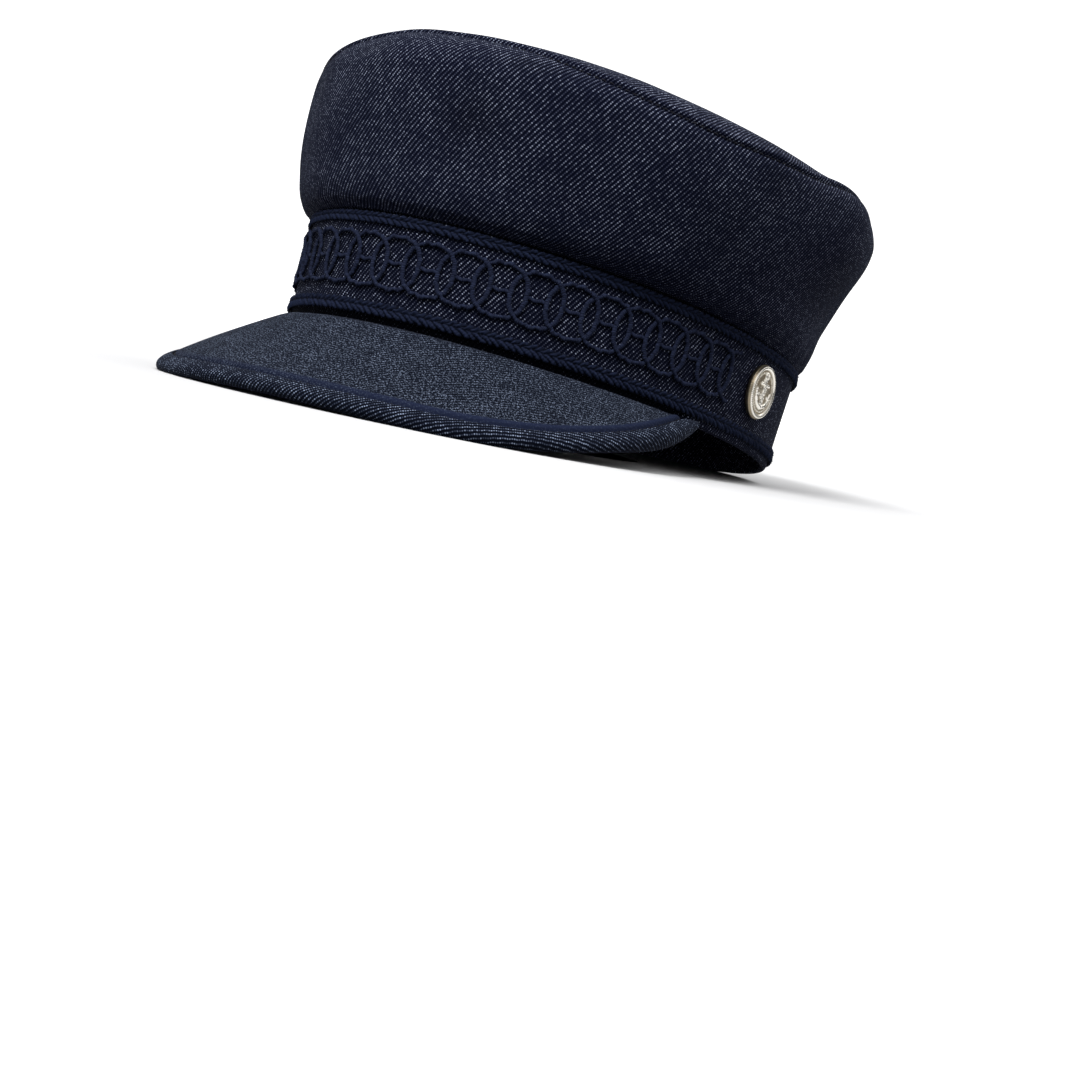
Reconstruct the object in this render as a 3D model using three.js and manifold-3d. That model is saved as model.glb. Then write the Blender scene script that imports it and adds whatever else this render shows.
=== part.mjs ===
// Sailor cap: a puffed denim crown on a band trimmed with cord, a stiff peak and two side buttons.
// Millimetres, +Z up. The cap stands on a table, front towards -Y, wearer's left towards +X.
// It is built upright on the plane of its rim and then tipped back until peak and rear rim touch down.

import * as THREE from 'three';
import { mergeVertices } from 'three/addons/utils/BufferGeometryUtils.js';
import Module from 'manifold-3d';

const wasm = await Module();
wasm.setup();

// Driving sizes

const seatGap = 0.3;

const bandLength = 212;
const bandWidth = 168;
const bandHeight = 37;
const bandFlare = 1.4;
const bandWall = 2.4;
const bandHemRound = 1.2;

const crownLength = 228;
const crownWidth = 210;
const crownHeight = 64.3;
const crownWall = 2;
const crownShiftBack = -1.5;
const crownWidestShare = 0.77;
const crownLowerLean = 0.35;
const crownDrawnIn = 0.6;
const crownOverhang = 1.8;
const seamInsetFront = 24.3;
const seamInsetSide = 14.5;
const seamInsetBack = 12;
const seamArch = 2.8;
const shoulderTurnFront = THREE.MathUtils.degToRad(92);
const shoulderTurnSide = THREE.MathUtils.degToRad(64.7);

const topDome = 5;
const topWall = 2;

const peakHalfSpan = THREE.MathUtils.degToRad(78.5);
const peakReach = 40.9;
const peakDrop = 33.5;
const peakEdgeThickness = 4.2;
const peakRootThickness = 3.2;
const peakRootHeight = 1.6;
const peakCamber = 2;
const peakLip = 0.9;

const upperBraidWidth = 3.5;
const lowerBraidWidth = 4.2;
const braidThickness = 1.1;
const upperBraidMargin = 0.3;
const lowerBraidMargin = 2.8;

const chainPitch = 12.3;
const chainRingWidth = 17.3;
const chainMarginBelow = 4.4;
const chainMarginAbove = 2.7;
const chainCord = 1.4;
const chainCordHeight = 0.8;
const chainRingsEachSide = 11;
const chainPower = 3;
const chainStagger = 0.1;

const buttonArc = 160;
const buttonDiameter = 19.5;
const buttonThickness = 2.6;
const buttonRim = 1.3;
const anchorRelief = 0.5;
const anchorHeight = 12;
const anchorSink = 0.1;

const restFlat = 0.8;

const stepsRound = 64;
const peakSteps = 40;
const ringSteps = 14;
const buttonSteps = 24;
const reliefSteps = 5;
const arcDivisions = 720;
const restHalvings = 40;
const mergeWithin = 1e-4;

// Peak outline, one row for each section from the middle to the end. along is the share of the half
// span, reach and drop are shares of peakReach and peakDrop, swing is the share of the band's own
// outward direction that the section points in.
const peakTable = [
  { along: 0, reach: 1, drop: 1, swing: 0.88 },
  { along: 0.25, reach: 1.02, drop: 0.994, swing: 0.88 },
  { along: 0.4, reach: 1.012, drop: 0.952, swing: 0.87 },
  { along: 0.55, reach: 0.91, drop: 0.81, swing: 0.87 },
  { along: 0.7, reach: 0.685, drop: 0.57, swing: 0.91 },
  { along: 0.85, reach: 0.3765, drop: 0.275, swing: 0.97 },
  { along: 1, reach: 0.04, drop: 0.01, swing: 1 },
];

// Places across the peak from its root to its edge, as shares of that way.
const peakTopShares = [0, 0.3, 0.6, 0.85, 1];
const peakUnderShares = [1, 0.85, 0.5, 0.2, 0];

// Soft hollows in the crown, and swells where depth is negative. turn is in degrees from the front
// towards the wearer's left, up is the share of the way from band to seam, depth is a share of
// crownHeight, wide is in degrees and tall is measured as up is.
const crownDents = [
  { turn: 72, up: 0.5, depth: 0.022, wide: 16, tall: 0.22 },
  { turn: 108, up: 0.2, depth: 0.045, wide: 15, tall: 0.14 },
  { turn: 128, up: 0.34, depth: 0.03, wide: 16, tall: 0.12 },
  { turn: 125, up: 0.75, depth: -0.025, wide: 18, tall: 0.16 },
  { turn: 186, up: 0.35, depth: 0.035, wide: 15, tall: 0.2 },
  { turn: 232, up: 0.5, depth: 0.03, wide: 17, tall: 0.22 },
  { turn: 268, up: 0.25, depth: 0.035, wide: 14, tall: 0.16 },
  { turn: 306, up: 0.7, depth: -0.04, wide: 20, tall: 0.18 },
  { turn: 335, up: 0.5, depth: 0.02, wide: 16, tall: 0.2 },
];

// Places up the crown's side, outside from band to seam and inside back down to the band.
const crownOuterUps = [0, 0.1, 0.2, 0.3, 0.4, 0.5, 0.6, 0.7, 0.8, 0.9, 1];
const crownInnerUps = [1, 0.85, 0.7, 0.5, 0.35, 0.2, 0.08];

// Places across the crown's top panel, as shares of the way from its middle to the seam.
const topUpperShares = [0.35, 0.7, 1];
const topLowerShares = [1, 0.5];

// Braid section, level as a share of the braid's width, face as a share of its thickness.
const braidTable = [
  { level: 0, face: 0 },
  { level: 1, face: 0 },
  { level: 0.75, face: 1 },
  { level: 0.5, face: 0.64 },
  { level: 0.25, face: 1 },
];

// Button section from its back round to its sunk face. inset is from the edge in shares of
// buttonRim, level in shares of buttonThickness.
const buttonTable = [
  { inset: 0.75, level: 0 },
  { inset: 0, level: 0.3 },
  { inset: 0, level: 0.75 },
  { inset: 0.4, level: 1 },
  { inset: 1, level: 1 },
];
const buttonFaceInset = 1.4;

// Anchor strokes in shares of anchorHeight, level from the anchor's middle, feet downwards.
const anchorStrokes = [
  { name: 'shank', across: 0.1, along: 0.78, level: -0.04 },
  { name: 'stock', across: 0.46, along: 0.09, level: 0.22 },
];
const anchorEye = { radius: 0.11, hole: 0.05, level: 0.42 };
const anchorArms = { outer: 0.42, outerLevel: -0.02, inner: 0.36, innerLevel: 0.04, from: 1.12, to: 1.88 };
const anchorFluke = [
  { across: 0.5, level: -0.14 },
  { across: 0.28, level: -0.16 },
  { across: 0.42, level: 0.06 },
];
const anchorLayer = 0.03;

// Colours and finish

const denimFinish = { color: 0x1c2233, roughness: 0.92, metalness: 0 };
const denimTopFinish = { color: 0x20273a, roughness: 0.92, metalness: 0 };
const peakFinish = { color: 0x2a3348, roughness: 0.9, metalness: 0 };
const cordFinish = { color: 0x1b2340, roughness: 0.85, metalness: 0 };
const metalFinish = { color: 0xc9c3b6, roughness: 0.28, metalness: 1 };

// Solids from sections

function outward(geometry) {
  const positions = geometry.getAttribute('position');
  const index = geometry.getIndex();
  const corner = [new THREE.Vector3(), new THREE.Vector3(), new THREE.Vector3()];
  let volume = 0;
  for (let i = 0; i < index.count; i += 3) {
    corner.forEach((point, j) => point.fromBufferAttribute(positions, index.getX(i + j)));
    volume += corner[0].dot(corner[1].clone().cross(corner[2]));
  }
  if (volume < 0) {
    for (let i = 0; i < index.count; i += 3) {
      const first = index.getX(i);
      index.setX(i, index.getX(i + 2));
      index.setX(i + 2, first);
    }
  }
  return geometry;
}

function meshOf(points, faces) {
  const geometry = new THREE.BufferGeometry().setFromPoints(points);
  geometry.setIndex(faces);
  return outward(geometry);
}

function stitchSections(sections, closedRound) {
  const width = sections[0].length;
  const faces = [];
  const spans = closedRound ? sections.length : sections.length - 1;
  for (let row = 0; row < spans; row += 1) {
    const next = (row + 1) % sections.length;
    for (let column = 0; column < width; column += 1) {
      const beside = (column + 1) % width;
      const a = row * width + column;
      const b = row * width + beside;
      const c = next * width + beside;
      const d = next * width + column;
      faces.push(a, b, c, a, c, d);
    }
  }
  return faces;
}

// Sections follow one another round a closed loop, each one a closed outline.
function loopSolid(sections) {
  return meshOf(sections.flat(), stitchSections(sections, true));
}

// Sections follow one another from end to end, and both ends are closed by a fan.
function strandSolid(sections) {
  const points = sections.flat();
  const faces = stitchSections(sections, false);
  const width = sections[0].length;
  [0, sections.length - 1].forEach((row, end) => {
    const middle = points.length;
    const centre = new THREE.Vector3();
    sections[row].forEach((point) => centre.addScaledVector(point, 1 / width));
    points.push(centre);
    for (let column = 0; column < width; column += 1) {
      const a = row * width + column;
      const b = row * width + ((column + 1) % width);
      faces.push(...(end === 0 ? [middle, b, a] : [middle, a, b]));
    }
  });
  return meshOf(points, faces);
}

// Profiles run from a shared top point to a shared bottom point, one for each step round.
function discSolid(top, profiles, bottom) {
  const width = profiles[0].length;
  const points = [...profiles.flat(), top, bottom];
  const topIndex = points.length - 2;
  const bottomIndex = points.length - 1;
  const faces = [];
  profiles.forEach((profile, row) => {
    const next = (row + 1) % profiles.length;
    faces.push(topIndex, row * width, next * width);
    for (let column = 0; column < width - 1; column += 1) {
      const a = row * width + column;
      const b = next * width + column;
      faces.push(a, a + 1, b + 1, a, b + 1, b);
    }
    faces.push(bottomIndex, next * width + width - 1, row * width + width - 1);
  });
  return meshOf(points, faces);
}

// Cutting and joining

function toManifold(geometry) {
  const bare = new THREE.BufferGeometry();
  bare.setAttribute('position', geometry.getAttribute('position'));
  bare.setIndex(geometry.getIndex());
  const merged = mergeVertices(bare);
  return new wasm.Manifold(new wasm.Mesh({
    numProp: 3,
    vertProperties: new Float32Array(merged.getAttribute('position').array),
    triVerts: new Uint32Array(merged.getIndex().array),
  }));
}

function fromManifold(solid) {
  const mesh = solid.getMesh();
  const geometry = new THREE.BufferGeometry();
  geometry.setAttribute('position', new THREE.BufferAttribute(new Float32Array(mesh.vertProperties), 3));
  geometry.setIndex(Array.from(mesh.triVerts));
  return geometry;
}

function joined(geometries) {
  return fromManifold(geometries.map(toManifold).reduce((whole, piece) => whole.add(piece)));
}

function spread(count, from, to) {
  return Array.from({ length: count }, (_, i) => THREE.MathUtils.lerp(from, to, i / (count - 1)));
}

function turnsRound(count) {
  return Array.from({ length: count }, (_, i) => (i / count) * 2 * Math.PI);
}

// Band

const rimHalfWidth = bandWidth / 2;
const rimHalfLength = bandLength / 2;

// The rim's outline as a curve by length, from the front towards the wearer's left.
const rimCurve = new THREE.EllipseCurve(
  0, 0, rimHalfWidth, rimHalfLength, -Math.PI / 2, 1.5 * Math.PI, false, 0,
);
rimCurve.arcLengthDivisions = arcDivisions;
const rimRound = rimCurve.getLength();

function turnAtArc(arc) {
  const whole = Math.floor(arc / rimRound);
  return (rimCurve.getUtoTmapping(0, arc - whole * rimRound) + whole) * 2 * Math.PI;
}

// A point on the band's outer face, moved outwards by out.
function bandPoint(turn, height, out) {
  const grown = (bandFlare * height) / bandHeight + out;
  return new THREE.Vector3(
    (rimHalfWidth + grown) * Math.sin(turn),
    -(rimHalfLength + grown) * Math.cos(turn),
    height,
  );
}

function bandNormal(turn) {
  return new THREE.Vector3(Math.sin(turn) / rimHalfWidth, -Math.cos(turn) / rimHalfLength, 0).normalize();
}

function bandSolid() {
  const outline = [
    { out: -bandWall, height: bandHeight },
    { out: -bandWall, height: bandHemRound },
    { out: bandHemRound - bandWall, height: 0 },
    { out: -bandHemRound, height: 0 },
    { out: -bandHemRound * (1 - Math.SQRT1_2), height: bandHemRound * (1 - Math.SQRT1_2) },
    { out: 0, height: bandHemRound },
    { out: 0, height: bandHeight },
  ];
  const sections = turnsRound(stepsRound).map(
    (turn) => outline.map(({ out, height }) => bandPoint(turn, height, out)),
  );
  return loopSolid(sections);
}

// Braids: flat cords of two rows, with a groove between them

function braidSolid(bottom, width) {
  const sections = turnsRound(stepsRound).map((turn) => braidTable.map(
    ({ level, face }) => bandPoint(turn, bottom + level * width, seatGap + face * braidThickness),
  ));
  return loopSolid(sections);
}

const upperBraidBottom = bandHeight - upperBraidMargin - upperBraidWidth;
const lowerBraidTop = lowerBraidMargin + lowerBraidWidth;

// Chain of interlaced rings

const chainTop = upperBraidBottom - chainMarginAbove;
const chainBottom = lowerBraidTop + chainMarginBelow;
const chainMiddle = (chainTop + chainBottom) / 2;
const chainRingHeight = chainTop - chainBottom - chainCord;
const chainLens = chainRingWidth - chainPitch;

// A cord on the band through places given by arc and height. lift raises it off the band a little.
function bandCord(places, closed, lift, thick) {
  const count = places.length;
  const onBand = places.map(({ arc, height }) => bandPoint(turnAtArc(arc), height, 0));
  const sections = onBand.map((point, i) => {
    const before = onBand[closed ? (i + count - 1) % count : Math.max(i - 1, 0)];
    const after = onBand[closed ? (i + 1) % count : Math.min(i + 1, count - 1)];
    const normal = bandNormal(turnAtArc(places[i].arc));
    const side = after.clone().sub(before).cross(normal).normalize();
    const corner = (across, out) => point.clone()
      .addScaledVector(side, (across * chainCord) / 2)
      .addScaledVector(normal, seatGap + lift + out);
    return [corner(-1, 0), corner(0, thick), corner(1, 0)];
  });
  return closed ? loopSolid(sections) : strandSolid(sections);
}

function ringPlace(centre, angle) {
  const round = (value) => Math.sign(value) * Math.abs(value) ** (2 / chainPower);
  return {
    arc: centre + (chainRingWidth / 2) * round(Math.cos(angle)),
    height: chainMiddle + (chainRingHeight / 2) * round(Math.sin(angle)),
  };
}

function ringChain() {
  const cords = [];
  for (let ring = -chainRingsEachSide; ring < chainRingsEachSide; ring += 1) {
    const odd = Math.abs(ring % 2);
    const centre = (ring + 0.5) * chainPitch;
    const places = turnsRound(ringSteps).map((angle) => ringPlace(centre, angle + Math.PI / ringSteps));
    cords.push(bandCord(places, true, odd * chainStagger, chainCordHeight + odd * chainStagger));
  }
  // The chain ends in half a ring at each side.
  [-1, 1].forEach((side) => {
    const centre = side * (chainRingsEachSide + 0.5) * chainPitch;
    const places = spread(ringSteps / 2 + 1, Math.PI / 2, 1.5 * Math.PI)
      .map((angle) => ringPlace(0, angle))
      .map(({ arc, height }) => ({ arc: centre + side * arc, height }));
    const odd = chainRingsEachSide % 2;
    cords.push(bandCord(places, false, odd * chainStagger, chainCordHeight + odd * chainStagger));
  });
  // A short bar joins one lens to the next across the middle of each ring.
  for (let ring = -chainRingsEachSide; ring < chainRingsEachSide; ring += 1) {
    const from = ring * chainPitch + chainLens / 2;
    const to = (ring + 1) * chainPitch - chainLens / 2;
    const places = [from, to].map((arc) => ({ arc, height: chainMiddle }));
    cords.push(bandCord(places, false, chainStagger / 2, chainCordHeight - chainStagger));
  }
  return joined(cords);
}

// Crown

const crownBase = bandHeight + seatGap;
const crownHalfWidth = crownWidth / 2;
const crownHalfLength = crownLength / 2;
const seamHalfWidth = crownHalfWidth - seamInsetSide;
const seamHalfLength = crownHalfLength - (seamInsetFront + seamInsetBack) / 2;
const seamShiftBack = crownShiftBack + (seamInsetFront - seamInsetBack) / 2;
const widestUp = 0.5;
const normalStep = 0.01;

function ovalPoint(halfWidth, halfLength, shift, turn) {
  return new THREE.Vector3(halfWidth * Math.sin(turn), shift - halfLength * Math.cos(turn), 0);
}

// The way out and up from the band to the widest place: full at the front, drawn in at the back.
function lowerSide(turn, share) {
  const quarter = (share * Math.PI) / 2;
  const full = THREE.MathUtils.smoothstep(Math.cos(turn), -crownDrawnIn, crownDrawnIn);
  return {
    out: THREE.MathUtils.lerp(Math.sin(quarter) ** 2, Math.sin(quarter), full),
    rise: THREE.MathUtils.lerp(share, 1 - Math.cos(quarter), full * (1 - crownLowerLean)),
  };
}

// The smooth outer face of the crown's side. up runs from 0 at the band to 1 at the seam.
function crownSmooth(turn, up) {
  const base = bandPoint(turn, bandHeight, crownOverhang).setZ(crownBase);
  const wide = ovalPoint(crownHalfWidth, crownHalfLength, crownShiftBack, turn);
  wide.z = crownBase + crownWidestShare * crownHeight;
  if (up < widestUp) {
    const { out, rise } = lowerSide(turn, up / widestUp);
    const point = base.clone().lerp(wide, out);
    point.z = THREE.MathUtils.lerp(base.z, wide.z, rise);
    return point;
  }
  const seam = ovalPoint(seamHalfWidth, seamHalfLength, seamShiftBack, turn);
  seam.z = crownBase + crownHeight + seamArch * Math.cos(2 * turn);
  const frontShare = Math.max(0, Math.cos(turn));
  const fullTurn = THREE.MathUtils.lerp(shoulderTurnSide, shoulderTurnFront, frontShare);
  const bend = ((up - widestUp) / (1 - widestUp)) * fullTurn;
  const point = wide.clone().lerp(seam, (1 - Math.cos(bend)) / (1 - Math.cos(fullTurn)));
  point.z = THREE.MathUtils.lerp(wide.z, seam.z, Math.sin(bend) / Math.sin(fullTurn));
  return point;
}

function crownNormal(turn, up) {
  const along = crownSmooth(turn + normalStep, up).sub(crownSmooth(turn - normalStep, up));
  const above = crownSmooth(turn, Math.min(up + normalStep, 1));
  const below = crownSmooth(turn, Math.max(up - normalStep, 0));
  return along.cross(above.sub(below)).normalize();
}

function dentDepth(turn, up) {
  const edgeHold = Math.sin(Math.PI * up);
  return crownDents.reduce((sum, dent) => {
    const away = THREE.MathUtils.radToDeg(turn) - dent.turn;
    const nearest = THREE.MathUtils.euclideanModulo(away + 180, 360) - 180;
    const spreadOut = (nearest / dent.wide) ** 2 + ((up - dent.up) / dent.tall) ** 2;
    return sum + dent.depth * crownHeight * Math.exp(-spreadOut);
  }, 0) * edgeHold;
}

function crownOuter(turn, up) {
  return crownSmooth(turn, up).addScaledVector(crownNormal(turn, up), -dentDepth(turn, up));
}

function crownInner(turn, up) {
  return crownOuter(turn, up).addScaledVector(crownNormal(turn, up), -crownWall);
}

// The side's lower edge is turned in over the band, so that it stands on the whole of its top.
function crownSideSolid() {
  const sections = turnsRound(stepsRound).map((turn) => [
    ...crownOuterUps.map((up) => crownOuter(turn, up)),
    ...crownInnerUps.map((up) => crownInner(turn, up)),
    bandPoint(turn, bandHeight, -bandWall).setZ(crownBase),
  ]);
  return loopSolid(sections);
}

// The top panel fills the seam's oval, edge to edge with the side's upper end.
function crownTopSolid() {
  const middleHeight = crownBase + crownHeight + topDome;
  const profiles = turnsRound(stepsRound).map((turn) => {
    const inwards = ovalPoint(seamHalfWidth, seamHalfLength, 0, turn).normalize().multiplyScalar(-seatGap);
    const upperRim = crownOuter(turn, 1).add(inwards);
    const lowerRim = crownInner(turn, 1).add(inwards);
    const panel = (rim, share, drop) => {
      const point = new THREE.Vector3(0, seamShiftBack, 0).lerp(rim, share);
      point.z = THREE.MathUtils.lerp(middleHeight - drop, rim.z, share ** 2);
      return point;
    };
    return [
      ...topUpperShares.map((share) => panel(upperRim, share, 0)),
      ...topLowerShares.map((share) => panel(lowerRim, share, topWall)),
    ];
  });
  return discSolid(
    new THREE.Vector3(0, seamShiftBack, middleHeight),
    profiles,
    new THREE.Vector3(0, seamShiftBack, middleHeight - topWall),
  );
}

// Peak

const peakCurve = new THREE.CubicInterpolant(
  peakTable.map(({ along }) => along),
  peakTable.flatMap(({ reach, drop, swing }) => [reach, drop, swing]),
  3,
);
peakCurve.settings = { endingStart: THREE.ZeroSlopeEnding, endingEnd: THREE.ZeroCurvatureEnding };

function peakSection(along) {
  const [reach, drop, swing] = peakCurve.evaluate(Math.abs(along));
  const turn = along * peakHalfSpan;
  const root = bandPoint(turn, peakRootHeight, seatGap);
  const normal = bandNormal(turn);
  const heading = Math.atan2(normal.x, -normal.y) * swing;
  const ahead = new THREE.Vector3(Math.sin(heading), -Math.cos(heading), 0);
  const across = ahead.clone().multiplyScalar(reach * peakReach).setZ(-drop * peakDrop);
  const edge = root.clone().add(across);
  const slope = Math.atan2(drop * peakDrop, reach * peakReach);
  const upwards = ahead.clone().multiplyScalar(Math.sin(slope)).setZ(Math.cos(slope));
  const camber = (share) => peakCamber * Math.abs(along) * reach * 4 * share * (1 - share);
  const top = (share) => root.clone().lerp(edge, share).addScaledVector(upwards, camber(share));
  const lowerRoot = root.clone().setZ(peakRootHeight - peakRootThickness);
  const lowerEdge = edge.clone().addScaledVector(upwards, -peakEdgeThickness);
  const under = (share) => lowerRoot.clone().lerp(lowerEdge, share)
    .addScaledVector(upwards, camber(share));
  const lip = edge.clone().lerp(lowerEdge, 0.5).addScaledVector(across.normalize(), peakLip);
  return [...peakTopShares.map(top), lip, ...peakUnderShares.map(under)];
}

function peakSolid() {
  return strandSolid(spread(peakSteps + 1, -1, 1).map(peakSection));
}

// Buttons

function pathThrough(places) {
  return new THREE.Shape(places.map(([x, y]) => new THREE.Vector2(x, y)));
}

// A plain anchor in relief, its foot towards -Y, standing on the plane z = 0.
function anchorParts(size, relief) {
  const strokes = anchorStrokes.map(({ across, along, level }) => {
    const [side, low, high] = [across / 2, level - along / 2, level + along / 2].map((v) => v * size);
    return pathThrough([[-side, low], [side, low], [side, high], [-side, high]]);
  });
  const eye = new THREE.Shape().absarc(0, anchorEye.level * size, anchorEye.radius * size, 0, 2 * Math.PI);
  eye.holes.push(
    new THREE.Path().absarc(0, anchorEye.level * size, anchorEye.hole * size, 0, 2 * Math.PI, true),
  );
  const { outer, outerLevel, inner, innerLevel, from, to } = anchorArms;
  const arms = new THREE.Shape();
  arms.absarc(0, outerLevel * size, outer * size, Math.PI * from, Math.PI * to);
  arms.absarc(0, innerLevel * size, inner * size, Math.PI * to, Math.PI * from, true);
  arms.closePath();
  const flukes = [-1, 1].map(
    (side) => pathThrough(anchorFluke.map(({ across, level }) => [side * across * size, level * size])),
  );
  return [eye, ...strokes, arms, ...flukes].map((outline, layer) => new THREE.ExtrudeGeometry(outline, {
    depth: relief * (1 - layer * anchorLayer),
    bevelEnabled: false,
    curveSegments: reliefSteps,
  }));
}

// The button lies on the plane z = 0 with its face towards +Z.
function buttonSolid() {
  const radius = buttonDiameter / 2;
  const face = buttonThickness - anchorRelief;
  const rim = buttonTable.map(({ inset, level }) => [radius - inset * buttonRim, level * buttonThickness]);
  const profile = [[0, 0], ...rim, [radius - buttonFaceInset * buttonRim, face], [0, face]]
    .map(([x, y]) => new THREE.Vector2(x, y));
  const disc = new THREE.LatheGeometry(profile, buttonSteps).rotateX(Math.PI / 2);
  const anchor = anchorParts(anchorHeight, anchorRelief)
    .map((piece) => piece.translate(0, 0, face - anchorSink));
  return joined([disc, ...anchor].map(solidFaces));
}

// Drops what three.js adds for shading, so that shared corners can be merged.
function solidFaces(geometry) {
  geometry.deleteAttribute('normal');
  geometry.deleteAttribute('uv');
  return outward(mergeVertices(geometry, mergeWithin));
}

// Assembly

function buttonPlace(side) {
  const turn = side * turnAtArc(buttonArc);
  const normal = bandNormal(turn);
  const place = bandPoint(turn, chainMiddle, 0).addScaledVector(normal, seatGap);
  const above = new THREE.Vector3(0, 0, 1);
  const beside = above.clone().cross(normal);
  return new THREE.Matrix4().makeBasis(beside, above, normal).setPosition(place);
}

const upright = {
  crown_side: [crownSideSolid(), denimFinish],
  crown_top: [crownTopSolid(), denimTopFinish],
  band: [bandSolid(), denimFinish],
  peak: [peakSolid(), peakFinish],
  upper_braid: [braidSolid(upperBraidBottom, upperBraidWidth), cordFinish],
  lower_braid: [braidSolid(lowerBraidMargin, lowerBraidWidth), cordFinish],
  ring_chain: [ringChain(), cordFinish],
  button_left: [buttonSolid().applyMatrix4(buttonPlace(1)), metalFinish],
  button_right: [buttonSolid().applyMatrix4(buttonPlace(-1)), metalFinish],
};

// The cap tips back until the lowest points of its peak and of its rear rim are level.
function lowestAfter(geometry, tip) {
  const positions = geometry.getAttribute('position');
  let lowest = Infinity;
  for (let i = 0; i < positions.count; i += 1) {
    lowest = Math.min(lowest, positions.getZ(i) * Math.cos(tip) - positions.getY(i) * Math.sin(tip));
  }
  return lowest;
}

function restTip() {
  let low = 0;
  let high = Math.PI / 4;
  for (let pass = 0; pass < restHalvings; pass += 1) {
    const tip = (low + high) / 2;
    if (lowestAfter(upright.peak[0], tip) < lowestAfter(upright.band[0], tip)) low = tip;
    else high = tip;
  }
  return low;
}

const tip = restTip();
const stand = new THREE.Matrix4().makeRotationX(-tip)
  .setPosition(0, 0, -lowestAfter(upright.band[0], tip) - restFlat);

// Cloth flattens a little where it touches the table.
function flattened(geometry) {
  const span = 2 * (crownLength + peakReach);
  const table = new THREE.BoxGeometry(span, span, crownHeight).translate(0, 0, -crownHeight / 2);
  return fromManifold(toManifold(geometry).subtract(toManifold(solidFaces(table))));
}

const cap = new THREE.Group();
cap.name = 'sailor_cap';
Object.entries(upright).forEach(([name, [geometry, finish]]) => {
  const placed = geometry.applyMatrix4(stand);
  const solid = ['band', 'peak'].includes(name) ? flattened(placed) : placed;
  const mesh = new THREE.Mesh(solid, new THREE.MeshStandardMaterial(finish));
  mesh.name = name;
  cap.add(mesh);
});

// The origin is the middle of the foot of the cap's bounding box.
const foot = new THREE.Box3().setFromObject(cap).getCenter(new THREE.Vector3()).setZ(0);
cap.position.copy(foot).negate();

export default cap;
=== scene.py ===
"""Navy denim sailor cap at rest on a table: the finish of its cloth, cords, peak and buttons.

Shapes are worked out in millimetres on the upright cap, whose rim lies level with its front
towards -Y and the wearer's left towards +X. The finished meshes are then tipped back and set
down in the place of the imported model.
"""

from __future__ import annotations

import logging
import math
from dataclasses import dataclass
from enum import Enum
from functools import cached_property
from typing import Mapping, Sequence, Union

import bpy
import numpy as np
from mathutils import Matrix, Vector


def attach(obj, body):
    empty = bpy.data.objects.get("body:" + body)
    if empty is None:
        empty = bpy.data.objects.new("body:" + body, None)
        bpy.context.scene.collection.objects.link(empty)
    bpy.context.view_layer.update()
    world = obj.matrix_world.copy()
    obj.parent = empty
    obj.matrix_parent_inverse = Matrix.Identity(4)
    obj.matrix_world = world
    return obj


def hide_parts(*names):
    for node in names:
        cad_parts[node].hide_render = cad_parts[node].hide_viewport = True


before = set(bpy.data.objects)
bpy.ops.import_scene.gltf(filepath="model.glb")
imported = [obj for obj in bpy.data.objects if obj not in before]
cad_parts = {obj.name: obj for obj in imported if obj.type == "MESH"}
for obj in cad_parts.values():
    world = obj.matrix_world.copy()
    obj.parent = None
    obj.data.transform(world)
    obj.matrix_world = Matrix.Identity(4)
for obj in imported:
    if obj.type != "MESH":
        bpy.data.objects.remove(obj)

LOG = logging.getLogger("sailor_cap")
MM = 0.001
FULL_TURN = 2 * math.pi

Colour = tuple[float, float, float, float]
Array = np.ndarray
Maps = Mapping[str, Array]
Section = dict[str, Array]
Material = bpy.types.Material
Socket = bpy.types.NodeSocket

BLACK: Colour = (0.0, 0.0, 0.0, 1.0)
WHITE: Colour = (1.0, 1.0, 1.0, 1.0)


class Slot(Enum):
    """The record's material slots."""

    DENIM = "denim"
    PEAK = "peak_denim"
    CORD = "navy_cord"
    BUTTON = "button_metal"


class Side(Enum):
    """The wearer's side that a button is sewn on."""

    LEFT = 1
    RIGHT = -1


def linear(red: float, green: float, blue: float) -> Colour:
    """The linear colour that shaders use for a screen (sRGB) colour with parts from 0 to 255."""
    parts = (red / 255, green / 255, blue / 255)
    return (*(p / 12.92 if p <= 0.04045 else ((p + 0.055) / 1.055) ** 2.4 for p in parts), 1.0)


def eased(low: float, high: float, value: Array) -> Array:
    """Rises smoothly from 0 at low to 1 at high."""
    share = np.clip((value - low) / (high - low), 0.0, 1.0)
    return share * share * (3 - 2 * share)


def bell(away: Array, width: float) -> Array:
    """A soft hump of height 1 that falls off over about the given width."""
    return np.exp(-((away / width) ** 2))


def between(first: Array, second: Array, share: Array) -> Array:
    """The value at a share of the way from first to second."""
    return first + (second - first) * share


def unit(vectors: Array) -> Array:
    """The same directions with length 1."""
    return vectors / np.linalg.norm(vectors, axis=-1, keepdims=True)


def run_length(points: Array, axis: int = 0) -> Array:
    """Length along each line of points, from its start. The lines run along the given axis."""
    steps = np.diff(points, axis=axis, prepend=np.take(points, [0], axis=axis))
    return np.cumsum(np.linalg.norm(steps, axis=-1), axis=axis)


def read_along(length: Array, rows: Array, at: Array) -> Array:
    """Rows of three numbers that lie at some lengths, read in between at other lengths."""
    return np.stack([np.interp(at, length, rows[:, i]) for i in range(3)], axis=-1)


def steps_to_one(count: int) -> Array:
    """A row of even steps from 0 that stops one short of 1."""
    return np.linspace(0, 1, count + 1)[None, :-1]


def closed_columns(grid: Array) -> Array:
    """A grid with its first column again at its end."""
    return np.concatenate([grid, grid[:, :1]], axis=1)


def one_number(values: Array) -> Array:
    """A flat map that carries the same number in both of its parts."""
    return np.stack([values, values], axis=-1)


def from_front(turn: Array) -> Array:
    """The same turns, counted up to half a turn either way from the front."""
    return np.mod(turn + math.pi, FULL_TURN) - math.pi


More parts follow.
